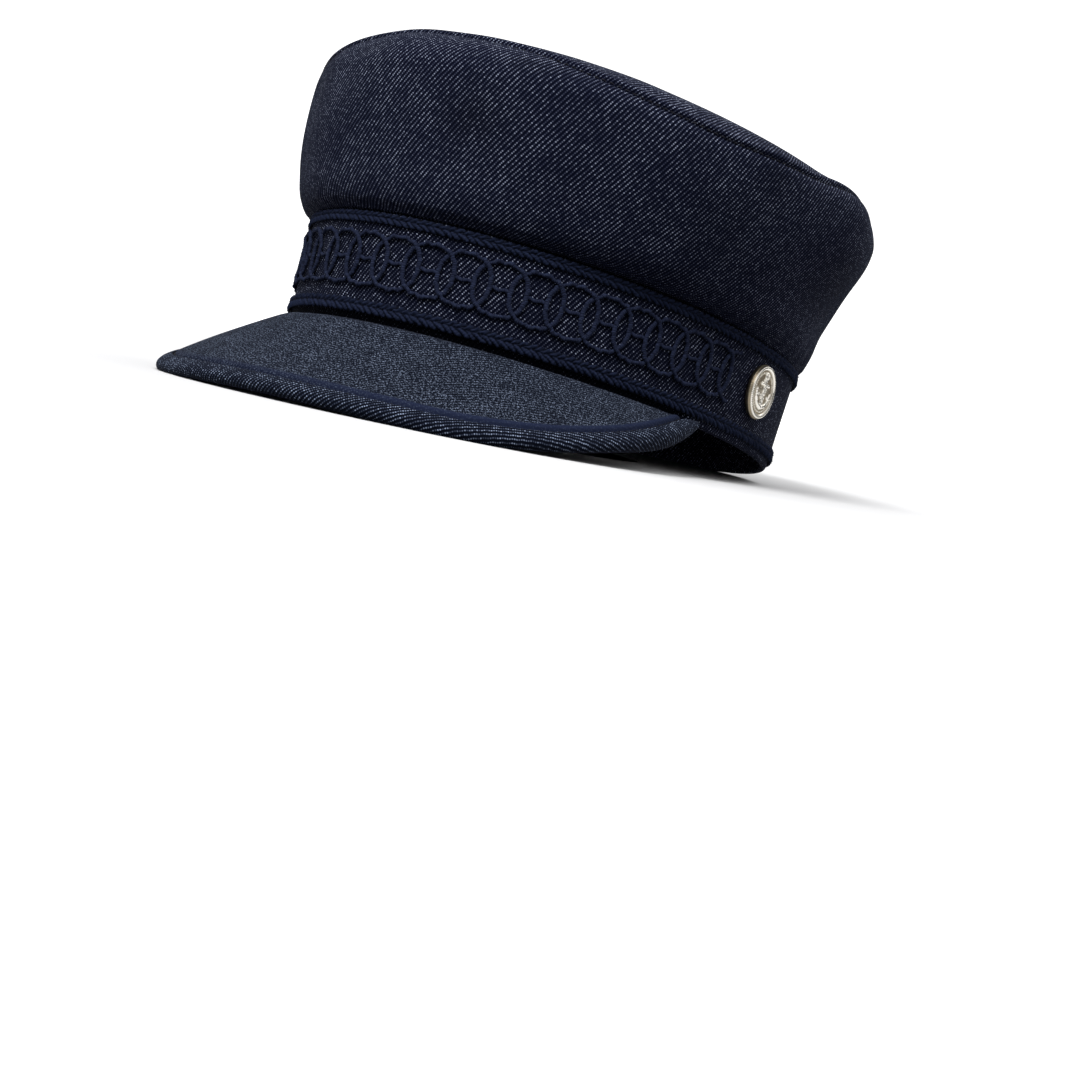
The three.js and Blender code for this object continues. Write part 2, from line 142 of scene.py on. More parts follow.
def in_scene(name: str, data: bpy.types.ID) -> bpy.types.Object:
    """Puts a mesh, a light or a camera into the scene.

    Args:
        name: The new object's name.
        data: What it holds.

    Returns:
        The object.
    """
    thing = bpy.data.objects.new(name, data)
    bpy.context.scene.collection.objects.link(thing)
    return thing


# Place of the cap


@dataclass(frozen=True)
class Rim:
    """The oval that the cap is built on, and its flaring band."""

    half_width: float = 84.0
    half_length: float = 106.0
    height: float = 37.0
    flare: float = 1.4
    wall: float = 2.4
    hem_round: float = 1.2
    seat_gap: float = 0.3
    arc_steps: int = 7200

    def point(self, turn: Array, height: Array, out: Array) -> Array:
        """Places on or beside the band's outer face.

        Args:
            turn: Angle from the front towards the wearer's left.
            height: Height above the rim.
            out: Distance outwards from the band's face.

        Returns:
            The points, with their coordinates last.
        """
        turn, height, out = np.broadcast_arrays(turn, height, out)
        grown = self.flare * height / self.height + out
        across = (self.half_width + grown) * np.sin(turn)
        back = -(self.half_length + grown) * np.cos(turn)
        return np.stack([across, back, height], axis=-1)

    def normal(self, turn: Array) -> Array:
        """The level direction straight out of the band.

        Args:
            turn: Angles from the front.

        Returns:
            One direction of length 1 for each of them.
        """
        turn = np.asarray(turn)
        across = np.sin(turn) / self.half_width
        back = -np.cos(turn) / self.half_length
        return unit(np.stack([across, back, np.zeros_like(turn)], axis=-1))

    @cached_property
    def _arc_table(self) -> tuple[Array, Array]:
        """Turns round the rim and the length of rim up to each."""
        turns = np.linspace(0, FULL_TURN, self.arc_steps + 1)
        return turns, run_length(self.point(turns, 0.0, 0.0))

    @property
    def round_length(self) -> float:
        """Length of the rim all the way round."""
        return float(self._arc_table[1][-1])

    def turn_at(self, arc: Array) -> Array:
        """The turns that lie at lengths along the rim from the front."""
        whole, rest = np.divmod(arc, self.round_length)
        return np.interp(rest, self._arc_table[1], self._arc_table[0]) + whole * FULL_TURN

    def arc_at(self, turn: Array) -> Array:
        """The lengths along the rim from the front to some turns."""
        whole, rest = np.divmod(turn, FULL_TURN)
        return np.interp(rest, *self._arc_table) + whole * self.round_length


@dataclass(frozen=True)
class Stand:
    """How the upright cap is tipped back and set down."""

    turning: Array
    shift: Array

    @classmethod
    def from_ring(cls, node: bpy.types.Object, bottom: float) -> Stand:
        """Reads the stand from a packed ring that lies level on the upright cap.

        Args:
            node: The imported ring.
            bottom: Height of its lower edge on the upright cap.

        Returns:
            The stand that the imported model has.
        """
        corners = np.array([vertex.co for vertex in node.data.vertices]) / MM
        axes = np.linalg.svd(corners - corners.mean(0), full_matrices=False)[2]
        up = axes[2] * np.sign(axes[2][2])
        back = unit(np.cross(up, [1.0, 0.0, 0.0]))
        across = np.cross(back, up)
        turning = np.stack([across, back, up], axis=1)
        upright = corners @ turning
        low, high = upright.min(0), upright.max(0)
        foot = np.array([(low[0] + high[0]) / 2, (low[1] + high[1]) / 2, low[2] - bottom])
        return cls(turning, turning @ foot)

    def placed(self, points: Array) -> Array:
        """Points of the upright cap as it stands, none of them below the table."""
        world = points @ self.turning.T + self.shift
        return np.concatenate([world[..., :2], np.maximum(world[..., 2:], 0.0)], axis=-1)

    def spot(self, point: Sequence[float]) -> Vector:
        """One point of the upright cap on the table, in metres."""
        return Vector((self.turning @ np.array(point) + self.shift) * MM)


# Meshes


@dataclass
class Draft:
    """A closed body in the making: points, faces and flat maps of its cloth."""

    points: Array
    faces: list[Array]
    maps: dict[str, list[Array]]

    @classmethod
    def from_grid(cls, points: Array, maps: Maps, rows_round: bool) -> Draft:
        """Stitches a grid whose columns close on themselves.

        Args:
            points: The grid's points by row and column.
            maps: Flat maps by name, one row and column larger where the grid closes.
            rows_round: Whether the last row joins the first; its ends are closed otherwise.

        Returns:
            The closed body.
        """
        draft = cls._stitched(points, maps, rows_round, True)
        if not rows_round:
            for row in (0, points.shape[0] - 1):
                ring = row * points.shape[1] + np.arange(points.shape[1])
                draft._close(ring, {name: flat[row] for name, flat in maps.items()}, row > 0)
        return draft._outward()

    @classmethod
    def from_discs(cls, points: Array, maps: Maps) -> Draft:
        """Stitches profiles that stand round an axis, closed at both of their ends.

        Args:
            points: The profiles' points by turn and by place along the profile.
            maps: Flat maps by name, one row larger.

        Returns:
            The closed body.
        """
        draft = cls._stitched(points, maps, True, False)
        rows, columns = points.shape[:2]
        for column in (0, columns - 1):
            ring = np.arange(rows) * columns + column
            flats = {name: flat[:, column] for name, flat in maps.items()}
            draft._close(ring, flats, column == 0)
        return draft._outward()

    @classmethod
    def together(cls, drafts: Sequence[Draft]) -> Draft:
        """Puts several bodies into one mesh.

        Args:
            drafts: The bodies, which have the same maps.

        Returns:
            All of them in one.
        """
        faces: list[Array] = []
        maps: dict[str, list[Array]] = {name: [] for name in drafts[0].maps}
        first = 0
        for draft in drafts:
            faces.extend(part + first for part in draft.faces)
            for name, parts in draft.maps.items():
                maps[name].extend(parts)
            first += len(draft.points)
        return cls(np.concatenate([draft.points for draft in drafts]), faces, maps)

    @classmethod
    def _stitched(cls, points: Array, maps: Maps, rows_round: bool, columns_round: bool) -> Draft:
        """Makes the grid's quads.

        Args:
            points: The grid's points by row and column.
            maps: Flat maps by name.
            rows_round: Whether the last row joins the first.
            columns_round: Whether the last column joins the first.

        Returns:
            The open body, with the quads' corners on each map.
        """
        rows, columns = points.shape[:2]
        row, column = np.meshgrid(
            np.arange(rows if rows_round else rows - 1),
            np.arange(columns if columns_round else columns - 1),
            indexing="ij",
        )
        row, column = row.ravel(), column.ravel()
        ways = [(row, column), (row + 1, column), (row + 1, column + 1), (row, column + 1)]
        faces = np.stack([(r % rows) * columns + c % columns for r, c in ways], axis=1)
        on_maps = {name: [np.stack([flat[r, c] for r, c in ways], axis=1)] for name, flat in maps.items()}
        return cls(points.reshape(-1, 3), [faces], on_maps)

    def _close(self, ring: Array, flats: Maps, turned: bool) -> None:
        """Closes a ring of points with a fan round its middle.

        Args:
            ring: Numbers of its points.
            flats: The ring's line on each map.
            turned: Whether the fan's faces are turned over.
        """
        middle = len(self.points)
        self.points = np.concatenate([self.points, self.points[ring].mean(0, keepdims=True)])
        beside = np.roll(ring, -1)
        fan = np.stack([np.full_like(ring, middle), ring, beside], axis=1)
        self.faces.append(fan[:, ::-1] if turned else fan)
        for name, flat in flats.items():
            line = flat if len(flat) > len(ring) else np.concatenate([flat, flat[:1]])
            centre = np.broadcast_to(line[:-1].mean(0), (len(ring), 2))
            corners = np.stack([centre, line[:-1], line[1:]], axis=1)
            self.maps[name].append(corners[:, ::-1] if turned else corners)

    def _outward(self) -> Draft:
        """Turns the faces over where they point inwards.

        Returns:
            The same body, whose faces point out.
        """
        volume = 0.0
        for part in self.faces:
            a, b, c = (self.points[part[:, i]] for i in range(3))
            volume += float(np.einsum("ij,ij->", a, np.cross(b, c)))
            if part.shape[1] == 4:
                d = self.points[part[:, 3]]
                volume += float(np.einsum("ij,ij->", a, np.cross(c, d)))
        if volume < 0:
            self.faces = [part[:, ::-1] for part in self.faces]
            self.maps = {name: [part[:, ::-1] for part in parts] for name, parts in self.maps.items()}
        return self

    def made(self, name: str, stand: Stand, finish: Material) -> bpy.types.Object:
        """Makes the mesh where the cap stands.

        Args:
            name: The piece's name.
            stand: How the cap stands.
            finish: The material that the piece is dressed in.

        Returns:
            The new object.
        """
        mesh = bpy.data.meshes.new(name)
        corners = np.concatenate([part.ravel() for part in self.faces])
        sizes = np.concatenate([np.full(len(part), part.shape[1]) for part in self.faces])
        mesh.vertices.add(len(self.points))
        mesh.vertices.foreach_set("co", (stand.placed(self.points) * MM).astype(np.float32).ravel())
        mesh.loops.add(len(corners))
        mesh.loops.foreach_set("vertex_index", corners.astype(np.int32))
        mesh.polygons.add(len(sizes))
        mesh.polygons.foreach_set("loop_start", (np.cumsum(sizes) - sizes).astype(np.int32))
        mesh.polygons.foreach_set("use_smooth", np.ones(len(sizes), dtype=bool))
        mesh.update(calc_edges=True)
        for map_name, parts in self.maps.items():
            layer = mesh.uv_layers.new(name=map_name)
            flat = np.concatenate([part.reshape(-1, 2) for part in parts])
            layer.data.foreach_set("uv", flat.astype(np.float32).ravel())
        mesh.validate()
        mesh.materials.append(finish)
        return in_scene(name, mesh)


@dataclass(frozen=True)
class Cord:
    """A cord along a line of points, with an oval section that may change on the way."""

    path: Array
    out: Array
    half_width: Array
    half_height: Array
    closed: bool
    sides: int = 10

    def draft(self) -> Draft:
        """Makes the cord.

        Returns:
            Its closed body, mapped by its length and round its section.
        """
        if self.closed:
            ahead = np.roll(self.path, -1, axis=0) - np.roll(self.path, 1, axis=0)
        else:
            ahead = np.gradient(self.path, axis=0)
        side = unit(np.cross(ahead, self.out))
        angle = np.linspace(0, FULL_TURN, self.sides, endpoint=False)[None, :, None]
        wide = np.broadcast_to(self.half_width, len(self.path))[:, None, None]
        high = np.broadcast_to(self.half_height, len(self.path))[:, None, None]
        points = self.path[:, None] + side[:, None] * wide * np.cos(angle)
        points = points + self.out[:, None] * high * np.sin(angle)
        line = np.concatenate([self.path, self.path[:1]]) if self.closed else self.path
        length = run_length(line)[:, None]
        share = np.linspace(0, 1, self.sides + 1)[None, :]
        strand = np.stack(np.broadcast_arrays(length, share), axis=-1)
        return Draft.from_grid(points, {"strand": strand}, self.closed)


@dataclass(frozen=True)
class Stitching:
    """A line of sewing stitches: their pitch, the share of it that each covers, and their thread."""

    pitch: float
    share: float
    radius: float = 0.2
    end_share: float = 0.35
    steps: int = 7
    sides: int = 6

    def sewn(self, path: Array, out: Array) -> Draft:
        """Makes the stitches along a path.

        Args:
            path: The sewn line, as closely spaced points.
            out: The direction out of the cloth at each of them.

        Returns:
            One small rounded body for each stitch, all together.
        """
        length = run_length(path)
        shares = np.linspace(0.5 - self.share / 2, 0.5 + self.share / 2, self.steps)
        arch = np.sin(np.linspace(0, math.pi, self.steps))
        taper = self.radius * (self.end_share + (1 - self.end_share) * np.sqrt(arch))
        drafts = []
        for number in range(int(length[-1] / self.pitch)):
            along = (number + shares) * self.pitch
            away = unit(read_along(length, out, along))
            line = read_along(length, path, along) + away * (arch * self.radius)[:, None]
            drafts.append(Cord(line, away, taper, taper, False, self.sides).draft())
        return Draft.together(drafts)


# Materials


class Value:
    """A number that varies over a surface. Sums and products of it add Math nodes."""

    def __init__(self, graph: Graph, socket: Socket) -> None:
        """Wraps a socket of the graph."""
        self.graph = graph
        self.socket = socket

    def __add__(self, other: Number) -> Value:
        """This value and another one together."""
        return self.graph.math("ADD", self, other)

    def __radd__(self, other: Number) -> Value:
        """Another value and this one together."""
        return self.graph.math("ADD", other, self)

    def __sub__(self, other: Number) -> Value:
        """This value less another one."""
        return self.graph.math("SUBTRACT", self, other)

    def __rsub__(self, other: Number) -> Value:
        """Another value less this one."""
        return self.graph.math("SUBTRACT", other, self)

    def __mul__(self, other: Number) -> Value:
        """This value times another one."""
        return self.graph.math("MULTIPLY", self, other)

    def __rmul__(self, other: Number) -> Value:
        """Another value times this one."""
        return self.graph.math("MULTIPLY", other, self)

    def __truediv__(self, other: Number) -> Value:
        """This value divided by another one."""
        return self.graph.math("DIVIDE", self, other)

    def __rtruediv__(self, other: Number) -> Value:
        """Another value divided by this one."""
        return self.graph.math("DIVIDE", other, self)

    def __pow__(self, other: Number) -> Value:
        """This value raised to a power."""
        return self.graph.math("POWER", self, other)

    def __rpow__(self, other: Number) -> Value:
        """Another value raised to this one."""
        return self.graph.math("POWER", other, self)

    def floor(self) -> Value:
        """The whole number below."""
        return self.graph.math("FLOOR", self)

    def fraction(self) -> Value:
        """The part after the whole number."""
        return self.graph.math("FRACT", self)

    def wave(self) -> Value:
        """A wave from 0 to 1 that is highest at each whole number."""
        return self.graph.math("COSINE", self * FULL_TURN) * 0.5 + 0.5

    def size(self) -> Value:
        """The value without its sign."""
        return self.graph.math("ABSOLUTE", self)

    def held(self) -> Value:
        """The value, kept from 0 to 1."""
        return self.graph.math("ADD", self, 0.0, clamp=True)

    def eased(self, low: float, high: float, start: float = 0.0, end: float = 1.0) -> Value:
        """A level that goes smoothly from start, where the value is low, to end, where it is high."""
        inputs = {"Value": self, 1: low, 2: high, 3: start, 4: end}
        return self.graph.number("ShaderNodeMapRange", {"interpolation_type": "SMOOTHSTEP"}, inputs)


Number = Union[float, Value]
Input = Union[float, Value, Socket, Sequence[float]]
Inputs = Mapping[Union[int, str], Input]
Settings = Mapping[str, object]


class Graph:
    """A tree of shader nodes in the making."""

    def __init__(self, tree: bpy.types.NodeTree) -> None:
        """Starts on an existing tree."""
        self.tree = tree
        self.maps: dict[str, tuple[Socket, Value, Value]] = {}

    def feed(self, socket: Socket, value: Input) -> None:
        """Links a socket to what varies, or sets it to what is the same all over.

        Args:
            socket: The socket that is fed.
            value: A link, a varying value or a constant.
        """
        source = value.socket if isinstance(value, Value) else value
        if isinstance(source, Socket):
            self.tree.links.new(source, socket)
        else:
            socket.default_value = source

    def node(self, kind: str, settings: Settings, inputs: Inputs) -> bpy.types.Node:
        """Adds a node.

        Args:
            kind: The node's type.
            settings: Its settings by name, set first.
            inputs: The values or links of its sockets, by name or number.

        Returns:
            The new node.
        """
        node = self.tree.nodes.new(kind)
        for key, setting in settings.items():
            setattr(node, key, setting)
        for key, value in inputs.items():
            self.feed(node.inputs[key], value)
        return node

    def number(self, kind: str, settings: Settings, inputs: Inputs) -> Value:
        """Adds a node whose first output is a number."""
        return Value(self, self.node(kind, settings, inputs).outputs[0])

    def math(self, operation: str, *terms: Number, clamp: bool = False) -> Value:
        """Adds a Math node on numbers."""
        settings = {"operation": operation, "use_clamp": clamp}
        return self.number("ShaderNodeMath", settings, dict(enumerate(terms)))

    def mixed(self, share: Number, first: Input, second: Input) -> Socket:
        """Mixes two colours."""
        inputs = {0: share, 6: first, 7: second}
        return self.node("ShaderNodeMix", {"data_type": "RGBA"}, inputs).outputs[2]

    def flat_map(self, name: str) -> tuple[Socket, Value, Value]:
        """Reads one of the mesh's flat maps, once for each material.

        Args:
            name: The map's name.

        Returns:
            The map as a vector, and its two parts in millimetres.
        """
        if name not in self.maps:
            place = self.node("ShaderNodeUVMap", {"uv_map": name}, {}).outputs[0]
            first, second, _ = self.node("ShaderNodeSeparateXYZ", {}, {0: place}).outputs
            self.maps[name] = (place, Value(self, first), Value(self, second))
        return self.maps[name]

    def share_map(self, name: str) -> Value:
        """Reads a flat map that carries one number."""
        return self.flat_map(name)[1]

    def joined(self, first: Number, second: Number) -> Socket:
        """Two numbers as one vector."""
        return self.node("ShaderNodeCombineXYZ", {}, {0: first, 1: second, 2: 0.0}).outputs[0]

    def chance(self, place: Socket) -> Value:
        """A number from 0 to 1 that jumps from place to place."""
        return self.number("ShaderNodeTexWhiteNoise", {"noise_dimensions": "3D"}, {"Vector": place})


@dataclass(frozen=True)
class Grain:
    """Soft noise: the size of its patches in millimetres, and its finer layers."""

    size: float
    detail: float = 2.0
    rough: float = 0.5

    def on(self, graph: Graph, place: Socket) -> Value:
        """The noise at a place, from 0 to 1 and mostly near a half."""
        inputs = {"Vector": place, "Scale": 1 / self.size, "Detail": self.detail, "Roughness": self.rough}
        return graph.number("ShaderNodeTexNoise", {"noise_dimensions": "3D"}, inputs)

    def wander(self, graph: Graph, place: Socket, reach: float) -> Value:
        """Noise on both sides of 0, from end to end as wide as reach."""
        return (self.on(graph, place) - 0.5) * reach


@dataclass(frozen=True)
class Mottle:
    """Patches of one level on another: noise spread smoothly between two of its values."""

    grain: Grain
    low: float
    high: float
    start: float = 0.0
    end: float = 1.0

    def on(self, graph: Graph, place: Socket) -> Value:
        """The patches at a place of the cloth."""
        return self.grain.on(graph, place).eased(self.low, self.high, self.start, self.end)


class Surface(Graph):
    """The nodes of one material, ending in a Principled shader."""

    def __init__(self, name: str, constants: Mapping[str, Input]) -> None:
        """Starts the material.

        Args:
            name: The material's name.
            constants: Values of the shader's sockets that are the same all over.
        """
        self.material = bpy.data.materials.new(name)
        self.material.use_nodes = True
        super().__init__(self.material.node_tree)
        self.shader = self.tree.nodes["Principled BSDF"]
        for key, value in constants.items():
            self.feed(self.shader.inputs[key], value)

    def finished(self, colour: Input, roughness: Number, height: Value, depth: float) -> Material:
        """Joins colour, roughness and bump to the shader.

        Args:
            colour: The base colour.
            roughness: The roughness.
            height: The height of the fine relief, from 0 to 1.
            depth: How far that relief reaches, in millimetres.

        Returns:
            The material.
        """
        bump = self.node("ShaderNodeBump", {}, {"Strength": 1.0, "Distance": depth * MM, "Height": height})
        self.feed(self.shader.inputs["Normal"], bump.outputs[0])
        self.feed(self.shader.inputs["Base Color"], colour)
        self.feed(self.shader.inputs["Roughness"], roughness)
        return self.material


@dataclass(frozen=True)
class Yarn:
    """What every finish of soft yarn has: its roughness, its sheen and its fine relief."""

    name: str
    roughness: float
    specular: float
    sheen: float
    sheen_roughness: float
    sheen_tint: Colour
    depth: float

    def surface(self) -> Surface:
        """Starts the material with what is the same all over it.

        Returns:
            Its nodes.
        """
        return Surface(self.name, {
            "Specular IOR Level": self.specular,
            "Sheen Weight": self.sheen,
            "Sheen Roughness": self.sheen_roughness,
            "Sheen Tint": self.sheen_tint,
        })


@dataclass(frozen=True)
class Denim(Yarn):
    """Twill of navy yarn on a pale core: specks in slanting lines on a near-black ground."""

    name: str = "denim"
    roughness: float = 0.9
    specular: float = 0.06
    sheen: float = 0.012
    sheen_roughness: float = 0.5
    sheen_tint: Colour = linear(150, 165, 205)
    depth: float = 0.16
    # Colour of painted shade, mixed in through the cloth's shade map.
    shade_colour: Colour = linear(2, 3, 10)
    ground: Colour = linear(3, 6, 23)
    ridge: Colour = linear(25, 31, 58)
    speck: Colour = linear(180, 189, 214)
    twill_angle: float = math.radians(57)
    line_pitch: float = 1.5
    line_wander: float = 0.3
    line_grain: Grain = Grain(5.0)
    row_shift: float = 3.0
    speck_pitch: float = 0.73
    speck_width: float = 0.68
    speck_length: float = 0.6
    speck_share: float = 0.9
    speck_rarity: float = 2.2
    speck_gain: float = 1.15
    speck_least: float = 0.15
    patches: Mottle = Mottle(Grain(24.0, 3.0, 0.6), 0.32, 0.68, 0.58, 1.1)
    ridge_least: float = 0.45
    ridge_change: float = 0.2
    ridge_relief: float = 0.7
    speck_relief: float = 0.4
    painted_shade_strength: float = 0.9

    def material(self) -> Material:
        """Builds the material.

        Returns:
            The material.
        """
        graph = self.surface()
        specks, ridges = self._twill(graph)
        colour = graph.mixed(ridges, self.ground, self.ridge)
        colour = graph.mixed(specks.held(), colour, self.speck)
        # Painted shade: a per-mesh map darkens the colour in patches, in recesses and along seams.
        colour = graph.mixed(graph.share_map("fold") * self.painted_shade_strength, colour, self.shade_colour)
        height = ridges * self.ridge_relief + specks * self.speck_relief
        return graph.finished(colour, self.roughness, height, self.depth)

    def _twill(self, graph: Graph) -> tuple[Value, Value]:
        """The twill's pale specks and the ridges they sit on.

        Args:
            graph: The material's nodes.

        Returns:
            The brightness of the specks, and the height of the ridges.
        """
        place, right, up = graph.flat_map("cloth")
        level, rise = math.cos(self.twill_angle), math.sin(self.twill_angle)
        along = right * level + up * rise
        across = up * level - right * rise + self.line_grain.wander(graph, place, self.line_wander)
        line = across / self.line_pitch
        row = line.floor()
        from_middle = line.fraction() - 0.5
        step = along / self.speck_pitch + graph.chance(graph.joined(row, 0.5)) * self.row_shift
        from_speck = step.fraction() - 0.5
        chance = graph.chance(graph.joined(row, step.floor()))
        wide = from_middle * (self.line_pitch / self.speck_width * 2)
        long = from_speck * (self.speck_pitch / self.speck_length * 2)
        dot = (1 - wide * wide - long * long).held()
        patches = self.patches.on(graph, place)
        bright = (chance**self.speck_rarity) * self.speck_gain + self.speck_least
        lift = self.ridge_least + chance * self.ridge_change + patches * self.ridge_change
        return dot * bright * patches * self.speck_share, from_middle.wave() * lift


@dataclass(frozen=True)
class BandDenimWithPaintedShade(Denim):
    """The band's cloth, drawn tight so that its twill lies closer, with darker ridges and sparser specks as
    painted shade.
    """

    name: str = "band_denim_with_painted_shade"
    # Painted shade: darker ridges than the crown's denim.
    ridge: Colour = linear(18, 23, 46)
    line_pitch: float = 1.3
    line_wander: float = 0.6
    speck_pitch: float = 0.78
    speck_width: float = 0.6
    speck_length: float = 0.54
    speck_rarity: float = 3.6
    speck_gain: float = 1.9


@dataclass(frozen=True)
class PeakDenim(Denim):
    """The peak's cloth: closely heathered, pressed smooth with a painted bluish sheen where the stitching
    draws it down, with painted shade in the stitched groove and along the root.
    """

    name: str = "peak_denim"
    roughness: float = 0.88
    ground: Colour = linear(3, 6, 17)
    ridge: Colour = linear(17, 24, 45)
    speck: Colour = linear(160, 175, 204)
    line_pitch: float = 1.38
    speck_pitch: float = 0.84
    speck_width: float = 0.64
    speck_length: float = 0.66
    patches: Mottle = Mottle(Grain(10.0, 3.0, 0.6), 0.32, 0.68, 0.58, 1.1)
    painted_shade_strength: float = 0.85
    stitch_line: float = 6.5
    stitch_blend: float = 0.4
    mottle: Mottle = Mottle(Grain(7.0), 0.3, 0.7, 0.7, 1.3)
    heather: Mottle = Mottle(Grain(0.7, 1.0, 0.6), 0.5, 0.74)
    heather_share: float = 0.37
    rim_specks: float = 1.4
    top_loss: float = 0.9
    ridge_loss: float = 0.5
    # Colour of the painted bluish sheen on the pressed strip.
    painted_sheen_blue: Colour = linear(38, 46, 73)
    smooth_width: float = 3.8
    smooth_before: float = 1.0
    smooth_after: float = 0.6
    smooth_grain: Grain = Grain(1.6)
    smooth_wander: float = 1.6
    smooth_side: float = 90.0
    smooth_least: float = 0.2
    smooth_loss: float = 0.6
    painted_sheen_share: float = 0.7
    smooth_flat: float = 0.4
    # Painted shade in the groove of the stitching.
    groove_shade_grain: Grain = Grain(1.5)
    groove_shade_wander: float = 1.1
    groove_shade_near: float = 0.35
    groove_shade_far: float = 0.8

    def material(self) -> Material:
        """Builds the material.

        Returns:
            The material.
        """
        graph = self.surface()
        place, _, _ = graph.flat_map("cloth")
        _, _, inwards = graph.flat_map("edge")
        specks, ridges = self._twill(graph)
        heather = self.heather.on(graph, place) * self.mottle.on(graph, place)
        on_top = inwards.eased(self.stitch_line - self.stitch_blend, self.stitch_line + self.stitch_blend)
        specks = specks * (self.rim_specks - on_top * self.top_loss) + heather * on_top * self.heather_share
        ridges = ridges * (1 - on_top * self.ridge_loss)
        strip = self._smooth_sheen_strip(graph, on_top)
        colour = graph.mixed(ridges, self.ground, self.ridge)
        colour = graph.mixed((specks * (1 - strip * self.smooth_loss)).held(), colour, self.speck)
        # Painted sheen: the pressed strip turns bluer.
        colour = graph.mixed(strip * self.painted_sheen_share, colour, self.painted_sheen_blue)
        # Painted shade: a dark wavy line along the groove of the stitching.
        drift = self.groove_shade_grain.wander(graph, place, self.groove_shade_wander)
        sewn = 1 - (inwards - self.stitch_line + drift).size().eased(self.groove_shade_near, self.groove_shade_far)
        colour = graph.mixed(sewn, colour, self.shade_colour)
        # Painted shade along the root of the peak.
        colour = graph.mixed(graph.share_map("fold") * self.painted_shade_strength, colour, self.shade_colour)
        height = ridges * (self.ridge_relief - strip * self.smooth_flat) + specks * self.speck_relief
        return graph.finished(colour, self.roughness, height, self.depth)

    def _smooth_sheen_strip(self, graph: Graph, on_top: Value) -> Value:
        """The strip beside the stitches, pressed smooth and given a painted bluish sheen, strongest towards
        the wearer's left.

        Args:
            graph: The material's nodes.
            on_top: 1 inside the line of stitches and 0 on the rolled rim.

        Returns:
            How smooth the cloth is and how strong its painted sheen, from 0 to 1.
        """
        place, _, _ = graph.flat_map("cloth")
        _, side, inwards = graph.flat_map("edge")
        ragged = inwards + self.smooth_grain.wander(graph, place, self.smooth_wander)
        end = self.stitch_line + self.smooth_width
        past = ragged.eased(end - self.smooth_before, end + self.smooth_after)
        leftwards = side.eased(-self.smooth_side, self.smooth_side, self.smooth_least, 1.0)
        return on_top * (1 - past) * leftwards


@dataclass(frozen=True)
class CordFinish(Yarn):
    """Satin-covered navy cord with fine turns of thread across it, and painted shade between them."""

    name: str = "navy_cord"
    roughness: float = 0.78
    specular: float = 0.08
    sheen: float = 0.02
    sheen_roughness: float = 0.4
    sheen_tint: Colour = linear(140, 155, 205)
    depth: float = 0.06
    thread: Colour = linear(48, 56, 82)
    # Colour between the turns of thread: painted shade.
    hollow_shade_and_tarnish: Colour = linear(12, 16, 34)
    turn_pitch: float = 0.6
    turn_lean: float = 0.9
    turn_share: float = 0.45
    turn_relief: float = 0.7
    fuzz: Grain = Grain(1.7, 4.0, 0.7)
    fuzz_low: float = 0.3
    fuzz_high: float = 0.7
    fuzz_share: float = 0.6

    def material(self) -> Material:
        """Builds the material.

        Returns:
            The material.
        """
        graph = self.surface()
        place, length, share = graph.flat_map("strand")
        thread = ((length + share * self.turn_lean) / self.turn_pitch).wave()
        fuzz = self.fuzz.on(graph, place)
        worn = fuzz.eased(self.fuzz_low, self.fuzz_high) * self.fuzz_share
        mask = (thread * self.turn_share + worn).held()
        # Painted shade between the turns of thread.
        colour = graph.mixed(mask, self.hollow_shade_and_tarnish, self.thread)
        height = thread * self.turn_relief + fuzz * (1 - self.turn_relief)
        return graph.finished(colour, self.roughness, height, self.depth)


@dataclass(frozen=True)
class BraidFinish(CordFinish):
    """Plaited navy cord, with painted shade between its strands."""

    name: str = "navy_braid"
    roughness: float = 0.82
    depth: float = 0.08
    thread: Colour = linear(35, 43, 68)
    # Colour between the strands: painted shade.
    hollow_shade_and_tarnish: Colour = linear(3, 5, 15)
    fuzz: Grain = Grain(0.9, 4.0, 0.75)
    fuzz_share: float = 0.5
    raised_low: float = 0.15
    raised_high: float = 0.85
    raised_share: float = 0.8
    darker: float = 0.2

    def material(self) -> Material:
        """Builds the material.

        Returns:
            The material.
        """
        graph = self.surface()
        place, _, _ = graph.flat_map("strand")
        # Painted shade: the colour darkens where the plait's relief is low.
        raised = graph.share_map("lie").eased(self.raised_low, self.raised_high) * self.raised_share
        fuzz = self.fuzz.on(graph, place)
        worn = fuzz.eased(self.fuzz_low, self.fuzz_high) * self.fuzz_share
        colour = graph.mixed((raised + worn - self.darker).held(), self.hollow_shade_and_tarnish, self.thread)
        return graph.finished(colour, self.roughness, fuzz, self.depth)


@dataclass(frozen=True)
class ThreadFinish:
    """Plain navy sewing thread."""

    name: str = "navy_thread"
    dark: Colour = linear(5, 7, 17)
    light: Colour = linear(11, 14, 31)
    specular: float = 0.3
    roughness: float = 0.7
    fuzz: Grain = Grain(0.4)
    fuzz_low: float = 0.3
    fuzz_high: float = 0.7
    depth: float = 0.03

    def material(self) -> Material:
        """Builds the material.

        Returns:
            The material.
        """
        graph = Surface(self.name, {"Specular IOR Level": self.specular})
        place, _, _ = graph.flat_map("strand")
        fuzz = self.fuzz.on(graph, place)
        colour = graph.mixed(fuzz.eased(self.fuzz_low, self.fuzz_high), self.dark, self.light)
        return graph.finished(colour, self.roughness, fuzz, self.depth)


